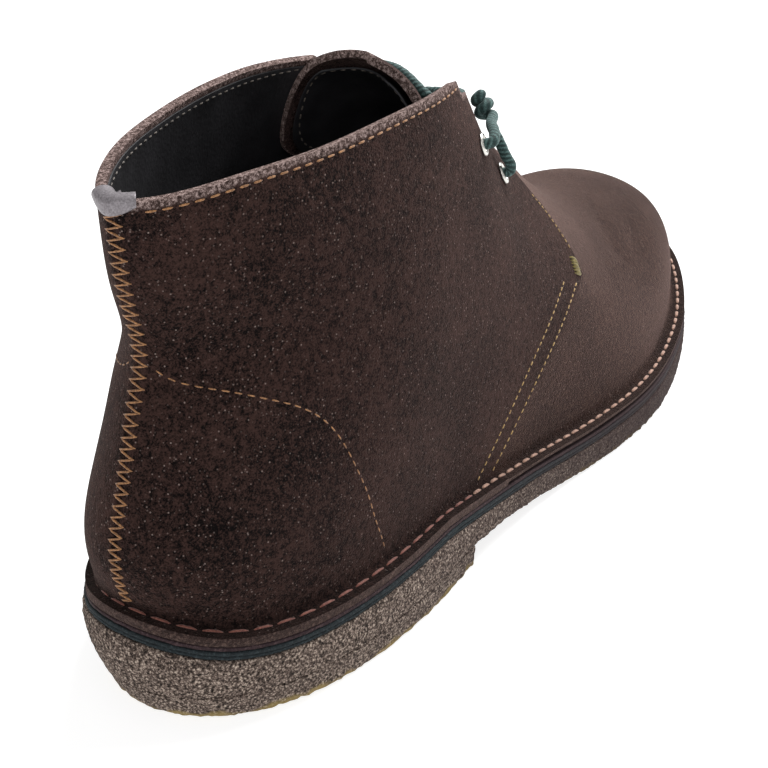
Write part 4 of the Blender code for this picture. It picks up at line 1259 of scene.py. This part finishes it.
def make_midsole():
    """Thin sheets between the upper's edge and the crepe: a brown one over grey rubber.  The brown
    sheet's dark tone is partly its own and partly painted shade under the stitched-down edge.
    """
    top = FLANGE_THICK + UNDER_EDGE
    # Partly painted shade: the brown sheet is darkened for the shadow under the stitched-down edge.
    brown = ("brown rand", "1b1315", "rand", "6a5857")
    grey = ("grey layered rubber", "101315", "midsole", "4d5659")
    pieces = []
    for name, layers, material in (
            ("midsole_rand", ((0.0, 1.05, 0.1),), brown),
            ("midsole_layers", ((1.15, 2.15, 0.45), (2.25, MIDSOLE_THICK, 0.35)), grey)):
        rows = []
        for low, high, reach in layers:
            steps = ((low, 0.35), (low + 0.12, 0.0), ((low + high) / 2, -0.05),
                     (high - 0.12, 0.0), (high, 0.35))
            for depth, inset in steps:
                rows.append((reach - inset, 1.0, lambda x, z, d=depth: z - top - d))
        piece = sole_layer(name, all_stations(1.5), rows, 2, relief=0.16, grit=1.1, seed=5)
        pieces.append(dress(piece, [material_of(layered_rubber, *material)]))
    return pieces


def make_outsole():
    """Full-length crepe sole with a rough side."""
    top = FLANGE_THICK + UNDER_EDGE + MIDSOLE_THICK + 0.15
    rows = [(0.3, 1.0, lambda x, z: z - top)]
    for k in np.linspace(0, 1, 13):
        reach = 0.75 + 0.2 * math.sin(k * math.pi) - 0.1 * k
        rows.append((reach, 1.0 - 0.4 * k,
                     lambda x, z, s=k: (z - top - 0.3) * (1 - s) + (sole_bottom(x) + 0.35) * s))
    rows.append((0.25, 0.6, lambda x, z: sole_bottom(x)))
    piece = sole_layer("crepe_outsole", all_stations(1.1), rows, 14, relief=0.42, seed=2)
    dress(piece, [material_of(crepe_rubber)])
    return piece


def make_heel_lift():
    """Crepe heel under the outsole."""
    stations = all_stations(0.9, HEEL_BREAST)
    rows = [(0.3, 0.6, lambda x, z: HEEL_HEIGHT - 0.05 + 0 * x),
            (0.5, 0.6, lambda x, z: HEEL_HEIGHT - 0.3 + 0 * x)]
    for k in np.linspace(0, 1, 8)[1:]:
        rows.append((0.55 - 1.5 * k, 0.6 - 0.3 * k,
                     lambda x, z, s=k: (HEEL_HEIGHT - 0.3) * (1 - s) + 0.4 * s + 0 * x))
    rows.append((-1.5, 0.3, lambda x, z: 0 * x))
    piece = sole_layer("crepe_heel", stations, rows, 14, relief=0.42, seed=3)
    activate(piece)
    bpy.ops.object.mode_set(mode="EDIT")
    bpy.ops.mesh.select_all(action="DESELECT")
    bpy.ops.mesh.select_non_manifold()
    bpy.ops.mesh.fill()
    bpy.ops.mesh.select_all(action="SELECT")
    bpy.ops.mesh.normals_make_consistent(inside=False)
    bpy.ops.object.mode_set(mode="OBJECT")
    dress(piece, [material_of(crepe_rubber)])
    return piece


def make_insole():
    """Leather sock, gently dished, on top of the midsole."""
    inside = -SOCK_INSET - FLANGE_WIDTH
    rows = [(inside, 0.0, lambda x, z: z + 0.3), (inside + 0.15, 0.0, lambda x, z: z + 0.05),
            (inside + 0.1, 0.0, lambda x, z: z - 1.8)]
    piece = sole_layer("sock", all_stations(2.4), rows, 20)
    points = np.array([v.co[:] for v in piece.data.vertices])
    dish = np.clip(1 - (np.abs(points[:, 1]) / (26 * MM)) ** 2, 0, 1) * 1.2 * MM
    on_top = points[:, 2] > 11.9 * MM
    points[:, 2] -= dish * on_top
    piece.data.vertices.foreach_set("co", points.reshape(-1))
    dress(piece, [black_lining()])
    return piece


def eyelet_frame(level, side):
    """Centre on the quarter's face and outward direction of an eyelet."""
    x, gap = EYELETS[level]
    ts = np.linspace(0.05, 1.0, 2000)
    middle = float(SECTION["ridge_y"](x))
    points = last(side * float(x), ts)
    t = first_crossing((np.abs(points[:, 1] - middle) - gap)[None, :], ts)
    return on_last(side * float(x), t, [QUARTER_STEP])[0], last_normal(side * float(x), t)[0]


def make_eyelets():
    """Rolled rings with barrels, one turned profile each."""
    names = {(0, -1): "eyelet_lower_outer", (0, 1): "eyelet_lower_inner",
             (1, -1): "eyelet_upper_outer", (1, 1): "eyelet_upper_inner"}
    for (level, side), node in names.items():
        face, normal = eyelet_frame(level, side)
        turn = np.array(Vector(normal).to_track_quat("Z", "Y").to_matrix())
        angle = np.linspace(0, 2 * math.pi, 41)
        radius, height = np.array(EYELET_PROFILE).T
        ring = np.stack((radius[:, None] * np.cos(angle), radius[:, None] * np.sin(angle),
                         height[:, None] + 0 * angle), axis=-1)
        piece = lofted(node.replace("eyelet", "eyelet_ring"), face + ring @ turn.T, closed=True)
        dress(piece, [material_of(nickel)])
        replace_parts(piece, node)


def through(level, side, height):
    """Point on the axis of an eyelet, height above the quarter's face."""
    face, normal = eyelet_frame(level, side)
    return face + normal * height


def lace_routes():
    """Centre lines of the laced strands and of the knot, as listed."""
    under = -WALL - QUARTER_STEP - 1.95
    cross = [
        (133.0, -19.4, 112.5),
        (133.3, -21.7, 109.0),
        (133.7, -23.4, 106.0),
        (134.2, -25.0, 103.0),
        (134.9, -26.0, 100.8),
        through(0, -1, 2.3),
        through(0, -1, 0.6),
        through(0, -1, -2.2),
        through(0, -1, under) + np.array((0.5, 1.0, 0.0)),
        (138.4, -12.6, 102.4),
        (139.4, -8.5, 106.6),
        (139.6, 0.0, 110.0),
        (139.4, 8.5, 106.6),
        (138.4, 12.4, 103.0),
        through(0, 1, under) + np.array((0.7, -0.8, 0.6)),
        through(0, 1, -2.2),
        through(0, 1, 0.6),
        through(0, 1, 2.6),
        (135.6, 25.0, 103.6),
        (136.4, 20.6, 109.2),
        (137.0, 14.6, 113.4),
        (137.0, 6.0, 116.0),
        (136.4, -3.0, 117.4),
        (135.6, -10.2, 118.0),
    ]
    over = [
        through(1, 1, -2.9),
        through(1, 1, 0.8),
        through(1, 1, 3.0),
        (118.2, 26.9, 116.0),
        (117.4, 23.8, 121.2),
        (116.6, 19.6, 125.2),
        (115.0, 13.0, 127.2),
        (113.0, 5.0, 128.6),
        (112.0, -2.0, 128.5),
        (110.6, -8.0, 126.0),
        (110.8, -13.0, 122.8),
        (114.0, -15.0, 121.6),
        (118.6, -15.0, 122.2),
        (122.6, -14.6, 121.8),
        (125.8, -14.6, 120.8),
    ]
    axis = unit(np.array(KNOT_AXIS))
    east = unit(np.cross(axis, (0.0, 1.0, 0.0)))
    north = np.cross(axis, east)
    knot = [through(1, -1, h) for h in (-2.9, -1.4, 0.0, 1.3, 2.5)]
    knot += [(119.4, -27.4, 113.6), (122.6, -25.4, 114.3), (125.6, -23.4, 114.6)]
    for k in range(KNOT_STEPS + 1):
        a = 2 * math.pi * KNOT_TURNS * k / KNOT_STEPS + KNOT_PHASE
        on_axis = np.array(KNOT_MIDDLE) + axis * (-KNOT_LENGTH / 2 + KNOT_LENGTH * k / KNOT_STEPS)
        knot.append(on_axis + (east * math.cos(a) + north * math.sin(a)) * KNOT_RADIUS)
    return {"lace_cross": cross, "lace_top": over, "lace_knot": knot}


def strand(name, path, radius):
    """Braided round lace swept along a path, with rounded ends and its UV map in mm."""
    around = 24
    along = unit(np.gradient(path, axis=0))
    side = unit(np.cross(along[0], (0.3, 0.2, 1.0)))
    sides = [side]
    for k in range(1, len(path)):
        side = unit(side - along[k] * (side @ along[k]))
        sides.append(side)
    sides = np.array(sides)
    ups = np.cross(along, sides)
    run = run_along(path)
    angle = np.linspace(0, 2 * math.pi, around + 1)
    climb = 2 * math.pi * run / 2.6
    ribs = np.maximum(np.sin(4 * angle[None, :] - climb[:, None]),
                      np.sin(4 * angle[None, :] + climb[:, None]))
    ends = np.minimum(run, run[-1] - run)
    taper = np.sqrt(np.clip(1 - (1 - np.clip(ends / radius, 0, 1)) ** 2, 0.0, 1))
    thick = radius * (0.975 + 0.03 * ribs) * taper[:, None]
    points = path[:, None, :] + thick[..., None] * (np.cos(angle)[None, :, None] * sides[:, None, :]
                                                    + np.sin(angle)[None, :, None] * ups[:, None, :])
    uv = np.stack(np.broadcast_arrays(radius * angle[None, :], run[:, None]), axis=-1)
    piece = lofted(name, points, uv)
    return dress(piece, [material_of(braid)])


def make_lace():
    """Lace through the eyelets and its knot."""
    for node, knots in lace_routes().items():
        path = smooth_path(knots, 0.36)
        piece = strand(node.replace("lace", "braid"), path, LACE_RADIUS)
        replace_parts(piece, node)


# ---- stitching ----
# Each thread's name, the tone in its twist, and its colour in the panel.
TAN_THREAD = ("tan thread", "6e4a2a", "tan_thread")
INNER_THREAD = ("grey beige thread", "3c352f", "inner_thread")
GOLD_THREAD = ("golden thread", "7a5a33", "golden_thread")
COPPER_THREAD = ("copper thread", "5e3029", "copper_thread")
ROSE_THREAD = ("rose tan thread", "7d5b4b", "rose_thread")
OLIVE_THREAD = ("olive gold thread", "5d5326", "olive_thread")


def front_line(side, inset):
    """Line on the quarter a set distance back from its front edge, from the sole to the bar tack."""
    s = np.linspace(0.01, 0.93, 90)
    t = CORNER_T * s
    where = QUARTER_FOOT + (QUARTER_FRONT - QUARTER_FOOT) * s - inset / math.sin(FRONT_SLOPE)
    return on_last(side * where, 0.004 + t, np.full_like(s, QUARTER_STEP))


def make_seams(quarters, lining, tongue_lining):
    """Every fine row of stitching, pressed onto the finished surfaces."""
    sizes = bpy.context.scene.boot_sizes
    quarter_tree = surface_tree(quarters)
    lining_tree = surface_tree(lining)
    tongue_tree = surface_tree(tongue_lining)
    width = sizes.thread_width / MM
    below_collar = sizes.collar_inset / MM / QUARTER_GIRTH
    rows = {"tan": [], "gold": [], "inner": []}
    for side in (-1, 1):
        stations, top = quarter_edge(side)
        collar = (stations > 12.6) & (stations < 103.5)
        along = side * stations[collar]
        outer = on_last(along, top[collar] - below_collar, np.full(len(along), QUARTER_STEP))
        rows["tan"].append(dashes(quarter_tree, outer, *COLLAR_STITCH, width))
        inner = on_last(along, top[collar] - 3.6 / QUARTER_GIRTH, np.full(len(along), -1.5))
        rows["inner"].append(dashes(lining_tree, inner, *INNER_STITCH, width * 0.85))
        for inset in FRONT_ROWS:
            rows["gold"].append(dashes(quarter_tree, front_line(side, inset), *FRONT_STITCH, width))

        facing = stations > 156.5
        line = on_last(side * stations[facing], top[facing] - 1.1 / VAMP_GIRTH,
                       np.full(facing.sum(), QUARTER_STEP))
        rows["gold"].append(dashes(quarter_tree, line[:-6], *FACING_STITCH, width))

        counter, height = np.array(COUNTER_LINE).T
        count = np.arange(len(counter))
        run = np.linspace(0, count[-1], 120)
        curve = on_last(side * spline(count, counter)(run), spline(count, height)(run),
                        np.full(len(run), QUARTER_STEP))
        rows["tan"].append(dashes(quarter_tree, curve, *COUNTER_STITCH, width * 0.7))

    around = np.concatenate((np.stack((np.linspace(5.5, 8.2, 40), np.full(40, -0.72)), 1),
                             np.stack((np.full(40, 8.25), np.linspace(-0.68, 0.68, 40)), 1),
                             np.stack((np.linspace(8.2, 5.5, 40), np.full(40, 0.72)), 1)))
    for _ in range(2):
        before = np.concatenate((around[:1], around[:-1]))
        after = np.concatenate((around[1:], around[-1:]))
        around = (before + around + after) / 3
    edge = np.array([tongue_grid([s], [u], 2.7)[0][0, 0] for s, u in around])
    rows["inner"].append(dashes(tongue_tree, edge, *TONGUE_STITCH, width * 0.85))

    for name, material, slot in (("tan", TAN_THREAD, "suede"), ("gold", GOLD_THREAD, "suede"),
                                 ("inner", INNER_THREAD, "sock_leather")):
        spots, along, up, size = [np.concatenate(part) for part in zip(*rows[name])]
        sew("stitches_" + name, spots, along, up, size, material_of(thread, *material))
    return quarter_tree


def make_flange_stitches():
    """Thick thread through the stitched-down edge, long stitches round the heel."""
    sizes = bpy.context.scene.boot_sizes
    loop = np.concatenate((-all_stations(0.8)[::-1], all_stations(0.8)[1:]))
    loop[np.abs(loop) < AT_SEAM] = AT_SEAM
    foot, out = feather(loop)
    back = np.clip((QUARTER_FOOT + 1 - np.abs(loop)) / 2.0, 0, 1)
    path = foot + out * (edge_reach(loop) - EDGE_STITCH_INSET)[:, None]
    path[:, 2] += 0.16 + edge_wave(np.abs(loop)) * 0.3 + 0.25 * back
    run = run_along(path)
    heel_at = np.interp(0.0, loop, run)
    spots = []
    ends = []
    pitches = []
    for way in (-1, 1):
        at = heel_at
        while 0 < at + way * 3.0 < run[-1]:
            forward = np.clip((abs(at - heel_at) - 85) / 45, 0, 1)
            pitch = sizes.heel_pitch / MM + (sizes.welt_pitch - sizes.heel_pitch) / MM * forward
            after = at + way * pitch
            a = np.array([np.interp(at, run, path[:, k]) for k in range(3)])
            b = np.array([np.interp(after, run, path[:, k]) for k in range(3)])
            spots.append((a + b) / 2)
            ends.append(b - a)
            pitches.append(pitch)
            at = after
    spots = np.array(spots)
    ends = np.array(ends)
    pitches = np.array(pitches)
    up = np.tile((0.0, 0.0, 1.0), (len(spots), 1))
    heel = spots[:, 0] < HEEL_STITCH_END
    wide = np.where(heel, 0.78, 1.05) * (sizes.welt_thread / MM)
    size = np.stack((pitches * 0.79, wide, wide * 0.6), axis=1)
    sew("welt_stitches_heel", spots[heel], ends[heel], up[heel], size[heel],
        material_of(thread, *COPPER_THREAD))
    sew("welt_stitches_front", spots[~heel], ends[~heel], up[~heel], size[~heel],
        material_of(thread, *ROSE_THREAD))


def make_zigzag(quarter_tree):
    """Zigzag thread over the back seam."""
    sizes = bpy.context.scene.boot_sizes
    half = sizes.zigzag_width / MM / 2
    ts = np.linspace(0.012, float(quarter_top([AT_SEAM])[0]) - 0.006, 400)
    run = run_along(on_last(AT_SEAM, ts, np.full(400, QUARTER_STEP)))
    count = int(run[-1] / (sizes.zigzag_pitch / MM))
    at = np.linspace(0, run[-1], 2 * count + 1)
    t = np.interp(at, run, ts)
    search = np.linspace(0.01, 14.0, 240)
    knots = []
    for k, here in enumerate(t):
        side = -1 if k % 2 else 1
        points = last(side * search, here)
        station = np.interp(half, np.abs(points[:, 1]), search)
        knots.append(on_last(side * station, here, [QUARTER_STEP])[0])
    knots, _ = press(quarter_tree, np.array(knots))
    along = knots[1:] - knots[:-1]
    middle = (knots[1:] + knots[:-1]) / 2
    spots, up = press(quarter_tree, middle)
    up = unit(up * 0.3 + np.array((-1.0, 0.0, 0.0)))
    spots = (spots + middle) / 2 + up * 0.22
    length = np.linalg.norm(along, axis=1) * 1.08
    size = np.stack((length, np.full(len(spots), 0.48), np.full(len(spots), 0.6)), axis=1)
    sew("zigzag_seam", spots, along, up, size, material_of(thread, *TAN_THREAD))


def make_bar_tacks():
    """Dense bar of thread at the front corner of each quarter."""
    spots = []
    along = []
    up = []
    for side in (-1, 1):
        for k, t in enumerate(np.linspace(0.438, 0.486, 17)):
            reach = side * np.array((169.6 + 0.9 * (k % 3), 173.4 + 0.4 * (k % 2)))
            lift = np.full(2, QUARTER_STEP + 0.05 + 0.15 * (k % 2))
            ends = on_last(reach, np.array((t + 0.006, t)), lift)
            spots.append(ends.mean(axis=0))
            along.append(ends[1] - ends[0])
            up.append(last_normal(side * 172.5, t))
    length = np.linalg.norm(along, axis=1)
    size = np.stack((length * 1.05, np.full(len(spots), 0.42), np.full(len(spots), 0.8)), axis=1)
    sew("bar_tacks", np.array(spots), np.array(along), np.array(up), size,
        material_of(thread, *OLIVE_THREAD))


# ---- stage ----
CAMERA_AT = (-197.7, -169.5, 214.5)      # behind the heel, on the outer side


def make_stage():
    """Light table, two soft lights and the camera."""
    stage = bpy.context.scene.boot_stage
    deselect()
    bpy.ops.mesh.primitive_circle_add(vertices=64, radius=9.0, fill_type="NGON",
                                      location=(0, 0, -0.0004))
    floor = bpy.context.object
    floor.name = "studio_floor"
    floor.data.materials.append(material_of(light_table))

    world = bpy.data.worlds.new("studio")
    bpy.context.scene.world = world
    world.use_nodes = True
    world.node_tree.nodes.clear()
    background = add_node(world.node_tree, "ShaderNodeBackground",
                          {"Color": (1, 1, 1, 1), "Strength": stage.ambient})
    add_node(world.node_tree, "ShaderNodeOutputWorld", {"Surface": background.outputs[0]})

    aim = Vector((0.0, 0.0, 0.05))
    for name, spot, size, power in (("key_light", (1.0, -0.1, 1.5), 1.3, stage.key_power),
                                    ("back_light", (-1.5, -0.45, 0.8), 1.4, stage.fill_power)):
        deselect()
        bpy.ops.object.light_add(type="AREA", location=spot)
        lamp = bpy.context.object
        lamp.name = name
        lamp.data.shape = "DISK"
        lamp.data.size = size
        lamp.data.energy = power
        lamp.rotation_euler = (aim - Vector(spot)).to_track_quat("-Z", "Y").to_euler()

    deselect()
    bpy.ops.object.camera_add(location=place(CAMERA_AT))
    camera = bpy.context.object
    camera.name = "boot_camera"
    camera.data.sensor_width = 36.0
    camera.data.lens = stage.lens
    camera.data.shift_x = stage.shift_across
    camera.data.shift_y = stage.shift_up
    camera.data.clip_start = 0.01
    heading = Matrix.Rotation(stage.heading - math.pi / 2, 3, "Z")
    tilt = Matrix.Rotation(math.pi / 2 - stage.dip, 3, "X")
    roll = Matrix.Rotation(stage.roll, 3, "Z")
    camera.rotation_euler = (heading @ tilt @ roll).to_euler()
    bpy.context.scene.camera = camera
    bpy.context.scene.view_settings.view_transform = "Standard"


# ---- settings ----
class BootSizes(bpy.types.PropertyGroup):
    """Sizes of the threads and their stitches"""
    thread_width: bpy.props.FloatProperty(
        name="Thread", description="Width of the sewing thread", default=0.5 * MM, unit="LENGTH", precision=5)
    collar_inset: bpy.props.FloatProperty(
        name="Collar inset", description="From the collar's edge to its stitches", default=2.6 * MM,
        unit="LENGTH", precision=5)
    heel_pitch: bpy.props.FloatProperty(
        name="Heel stitch", description="Pitch of the stitches in the edge round the heel", default=6.1 * MM,
        unit="LENGTH", precision=5)
    welt_pitch: bpy.props.FloatProperty(
        name="Edge stitch", description="Pitch of the stitches in the edge along the foot", default=4.75 * MM,
        unit="LENGTH", precision=5)
    welt_thread: bpy.props.FloatProperty(
        name="Edge thread", description="Width of the thread in the stitched-down edge", default=1.05 * MM,
        unit="LENGTH", precision=5)
    zigzag_width: bpy.props.FloatProperty(
        name="Zigzag width", description="Width of the zigzag over the back seam", default=3.3 * MM,
        unit="LENGTH", precision=5)
    zigzag_pitch: bpy.props.FloatProperty(
        name="Zigzag pitch", description="Height of one zigzag", default=2.6 * MM, unit="LENGTH", precision=5)


class BootColours(bpy.types.PropertyGroup):
    """Main colour of each finish"""
    quarter_suede: bpy.props.FloatVectorProperty(
        name="Quarter suede", description="Nap of the quarters where it lies up",
        default=hex_colour("3a2925"), size=4, min=0.0, max=1.0, subtype="COLOR")
    vamp_suede: bpy.props.FloatVectorProperty(
        name="Vamp suede", description="Nap of the vamp where it lies up",
        default=hex_colour("30211c"), size=4, min=0.0, max=1.0, subtype="COLOR")
    tongue_suede: bpy.props.FloatVectorProperty(
        name="Tongue suede", description="Nap of the tongue where it lies up",
        default=hex_colour("4a3936"), size=4, min=0.0, max=1.0, subtype="COLOR")
    lining: bpy.props.FloatVectorProperty(
        name="Lining", description="Lighter parts of the lining leather",
        default=hex_colour("2a292c"), size=4, min=0.0, max=1.0, subtype="COLOR")
    heel_tab: bpy.props.FloatVectorProperty(
        name="Heel tab", description="Grain of the strip over the back of the collar",
        default=hex_colour("8f898d"), size=4, min=0.0, max=1.0, subtype="COLOR")
    crepe: bpy.props.FloatVectorProperty(
        name="Crepe", description="Crumbs of the crepe sole",
        default=hex_colour("806f66"), size=4, min=0.0, max=1.0, subtype="COLOR")
    # Dark partly as painted shade under the stitched-down edge.
    rand: bpy.props.FloatVectorProperty(
        name="Rand", description="Brown sheet on top of the midsole",
        default=hex_colour("3a2b2e"), size=4, min=0.0, max=1.0, subtype="COLOR")
    midsole: bpy.props.FloatVectorProperty(
        name="Midsole", description="Grey layers of the midsole",
        default=hex_colour("242c2f"), size=4, min=0.0, max=1.0, subtype="COLOR")
    eyelets: bpy.props.FloatVectorProperty(
        name="Eyelets", description="Nickel plate",
        default=hex_colour("d6d4cd"), size=4, min=0.0, max=1.0, subtype="COLOR")
    lace: bpy.props.FloatVectorProperty(
        name="Lace", description="Yarn of the lace",
        default=hex_colour("2b4341"), size=4, min=0.0, max=1.0, subtype="COLOR")
    tan_thread: bpy.props.FloatVectorProperty(
        name="Tan thread", description="Collar, counter and zigzag",
        default=hex_colour("a8774a"), size=4, min=0.0, max=1.0, subtype="COLOR")
    inner_thread: bpy.props.FloatVectorProperty(
        name="Inner thread", description="Stitches on the lining",
        default=hex_colour("756b60"), size=4, min=0.0, max=1.0, subtype="COLOR")
    golden_thread: bpy.props.FloatVectorProperty(
        name="Golden thread", description="Front edge and facing",
        default=hex_colour("b99a5e"), size=4, min=0.0, max=1.0, subtype="COLOR")
    copper_thread: bpy.props.FloatVectorProperty(
        name="Copper thread", description="Edge stitches round the heel",
        default=hex_colour("8a5546"), size=4, min=0.0, max=1.0, subtype="COLOR")
    rose_thread: bpy.props.FloatVectorProperty(
        name="Rose thread", description="Edge stitches along the foot",
        default=hex_colour("b6907c"), size=4, min=0.0, max=1.0, subtype="COLOR")
    olive_thread: bpy.props.FloatVectorProperty(
        name="Olive thread", description="Bar tacks",
        default=hex_colour("98884a"), size=4, min=0.0, max=1.0, subtype="COLOR")


class BootStage(bpy.types.PropertyGroup):
    """Light and camera"""
    ambient: bpy.props.FloatProperty(
        name="Ambient", description="Strength of the white surround", default=0.54, min=0.0)
    key_power: bpy.props.FloatProperty(
        name="Key light", description="Soft light above the toe", default=54.0, min=0.0, unit="POWER")
    fill_power: bpy.props.FloatProperty(
        name="Back light", description="Weak soft light on the heel", default=6.0, min=0.0, unit="POWER")
    lens: bpy.props.FloatProperty(
        name="Lens", description="Focal length on a 36 mm sensor, in mm", default=64.2, min=20.0)
    shift_across: bpy.props.FloatProperty(
        name="Shift across", description="Lens shift that centres the boot sideways", default=0.131)
    shift_up: bpy.props.FloatProperty(
        name="Shift up", description="Lens shift that centres the boot up and down", default=-0.026)
    heading: bpy.props.FloatProperty(
        name="Heading", description="Direction that the camera looks in plan, from +X", subtype="ANGLE",
        default=math.radians(33.1))
    dip: bpy.props.FloatProperty(
        name="Dip", description="Angle that the camera looks down", subtype="ANGLE",
        default=math.radians(25.93))
    roll: bpy.props.FloatProperty(
        name="Roll", description="Turn of the camera about its view", subtype="ANGLE",
        default=math.radians(0.25))


# ---- operators ----
class BOOT_OT_stage(bpy.types.Operator):
    """Add the floor, the lights and the camera"""
    bl_idname = "boot.stage"
    bl_label = "Stage"

    def execute(self, context):
        make_stage()
        return {"FINISHED"}


class BOOT_OT_lace(bpy.types.Operator):
    """Add the braided lace and its knot"""
    bl_idname = "boot.lace"
    bl_label = "Lace"

    def execute(self, context):
        make_lace()
        return {"FINISHED"}


class BOOT_OT_upper(bpy.types.Operator):
    """Add the vamp, the quarters and their lining"""
    bl_idname = "boot.upper"
    bl_label = "Upper"

    def execute(self, context):
        for piece in (make_vamp(), make_quarters(), make_lining()):
            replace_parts(piece, "upper")
        return {"FINISHED"}


class BOOT_OT_tongue(bpy.types.Operator):
    """Add the tongue and its lining"""
    bl_idname = "boot.tongue"
    bl_label = "Tongue"

    def execute(self, context):
        for piece in make_tongue():
            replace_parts(piece, "tongue")
        return {"FINISHED"}


class BOOT_OT_heel_tab(bpy.types.Operator):
    """Add the grey strip over the back of the collar"""
    bl_idname = "boot.heel_tab"
    bl_label = "Heel tab"

    def execute(self, context):
        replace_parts(make_heel_tab(), "heel_tab")
        return {"FINISHED"}


class BOOT_OT_sole(bpy.types.Operator):
    """Add the midsole layers, the crepe sole, its heel and the sock"""
    bl_idname = "boot.sole"
    bl_label = "Sole"

    def execute(self, context):
        for layer in make_midsole():
            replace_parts(layer, "midsole")
        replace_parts(make_outsole(), "outsole")
        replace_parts(make_heel_lift(), "heel_lift")
        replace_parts(make_insole(), "insole")
        return {"FINISHED"}


class BOOT_OT_eyelets(bpy.types.Operator):
    """Add the four eyelets"""
    bl_idname = "boot.eyelets"
    bl_label = "Eyelets"

    def execute(self, context):
        make_eyelets()
        return {"FINISHED"}


class BOOT_OT_stitching(bpy.types.Operator):
    """Sew every row of stitches onto the finished surfaces"""
    bl_idname = "boot.stitching"
    bl_label = "Stitching"

    def execute(self, context):
        objects = bpy.data.objects
        tree = make_seams(objects["quarters"], objects["lining"], objects["tongue_lining"])
        make_flange_stitches()
        make_zigzag(tree)
        make_bar_tacks()
        return {"FINISHED"}


OPERATORS = (BOOT_OT_stage, BOOT_OT_lace, BOOT_OT_upper, BOOT_OT_tongue, BOOT_OT_heel_tab, BOOT_OT_sole,
             BOOT_OT_eyelets, BOOT_OT_stitching)


class BOOT_PT_panel(bpy.types.Panel):
    """Lists the boot's pieces and settings"""
    bl_label = "Chukka boot"
    bl_idname = "BOOT_PT_panel"
    bl_space_type = "VIEW_3D"
    bl_region_type = "UI"
    bl_category = "Boot"

    def draw(self, context):
        for operator in OPERATORS:
            self.layout.operator(operator.bl_idname)
        scene = context.scene
        for group in (scene.boot_sizes, scene.boot_colours, scene.boot_stage):
            for name in group.bl_rna.properties.keys():
                if name not in ("rna_type", "name"):
                    self.layout.prop(group, name)


CLASSES = (BootSizes, BootColours, BootStage, *OPERATORS, BOOT_PT_panel)


def register():
    for item in CLASSES:
        bpy.utils.register_class(item)
    bpy.types.Scene.boot_sizes = bpy.props.PointerProperty(type=BootSizes)
    bpy.types.Scene.boot_colours = bpy.props.PointerProperty(type=BootColours)
    bpy.types.Scene.boot_stage = bpy.props.PointerProperty(type=BootStage)


def unregister():
    del bpy.types.Scene.boot_sizes
    del bpy.types.Scene.boot_colours
    del bpy.types.Scene.boot_stage
    for item in reversed(CLASSES):
        bpy.utils.unregister_class(item)


def main():
    """Build the whole boot."""
    register()
    bpy.ops.boot.stage()
    bpy.ops.boot.lace()
    bpy.ops.boot.upper()
    bpy.ops.boot.tongue()
    bpy.ops.boot.heel_tab()
    bpy.ops.boot.sole()
    bpy.ops.boot.eyelets()
    bpy.ops.boot.stitching()


if __name__ == "__main__":
    main()
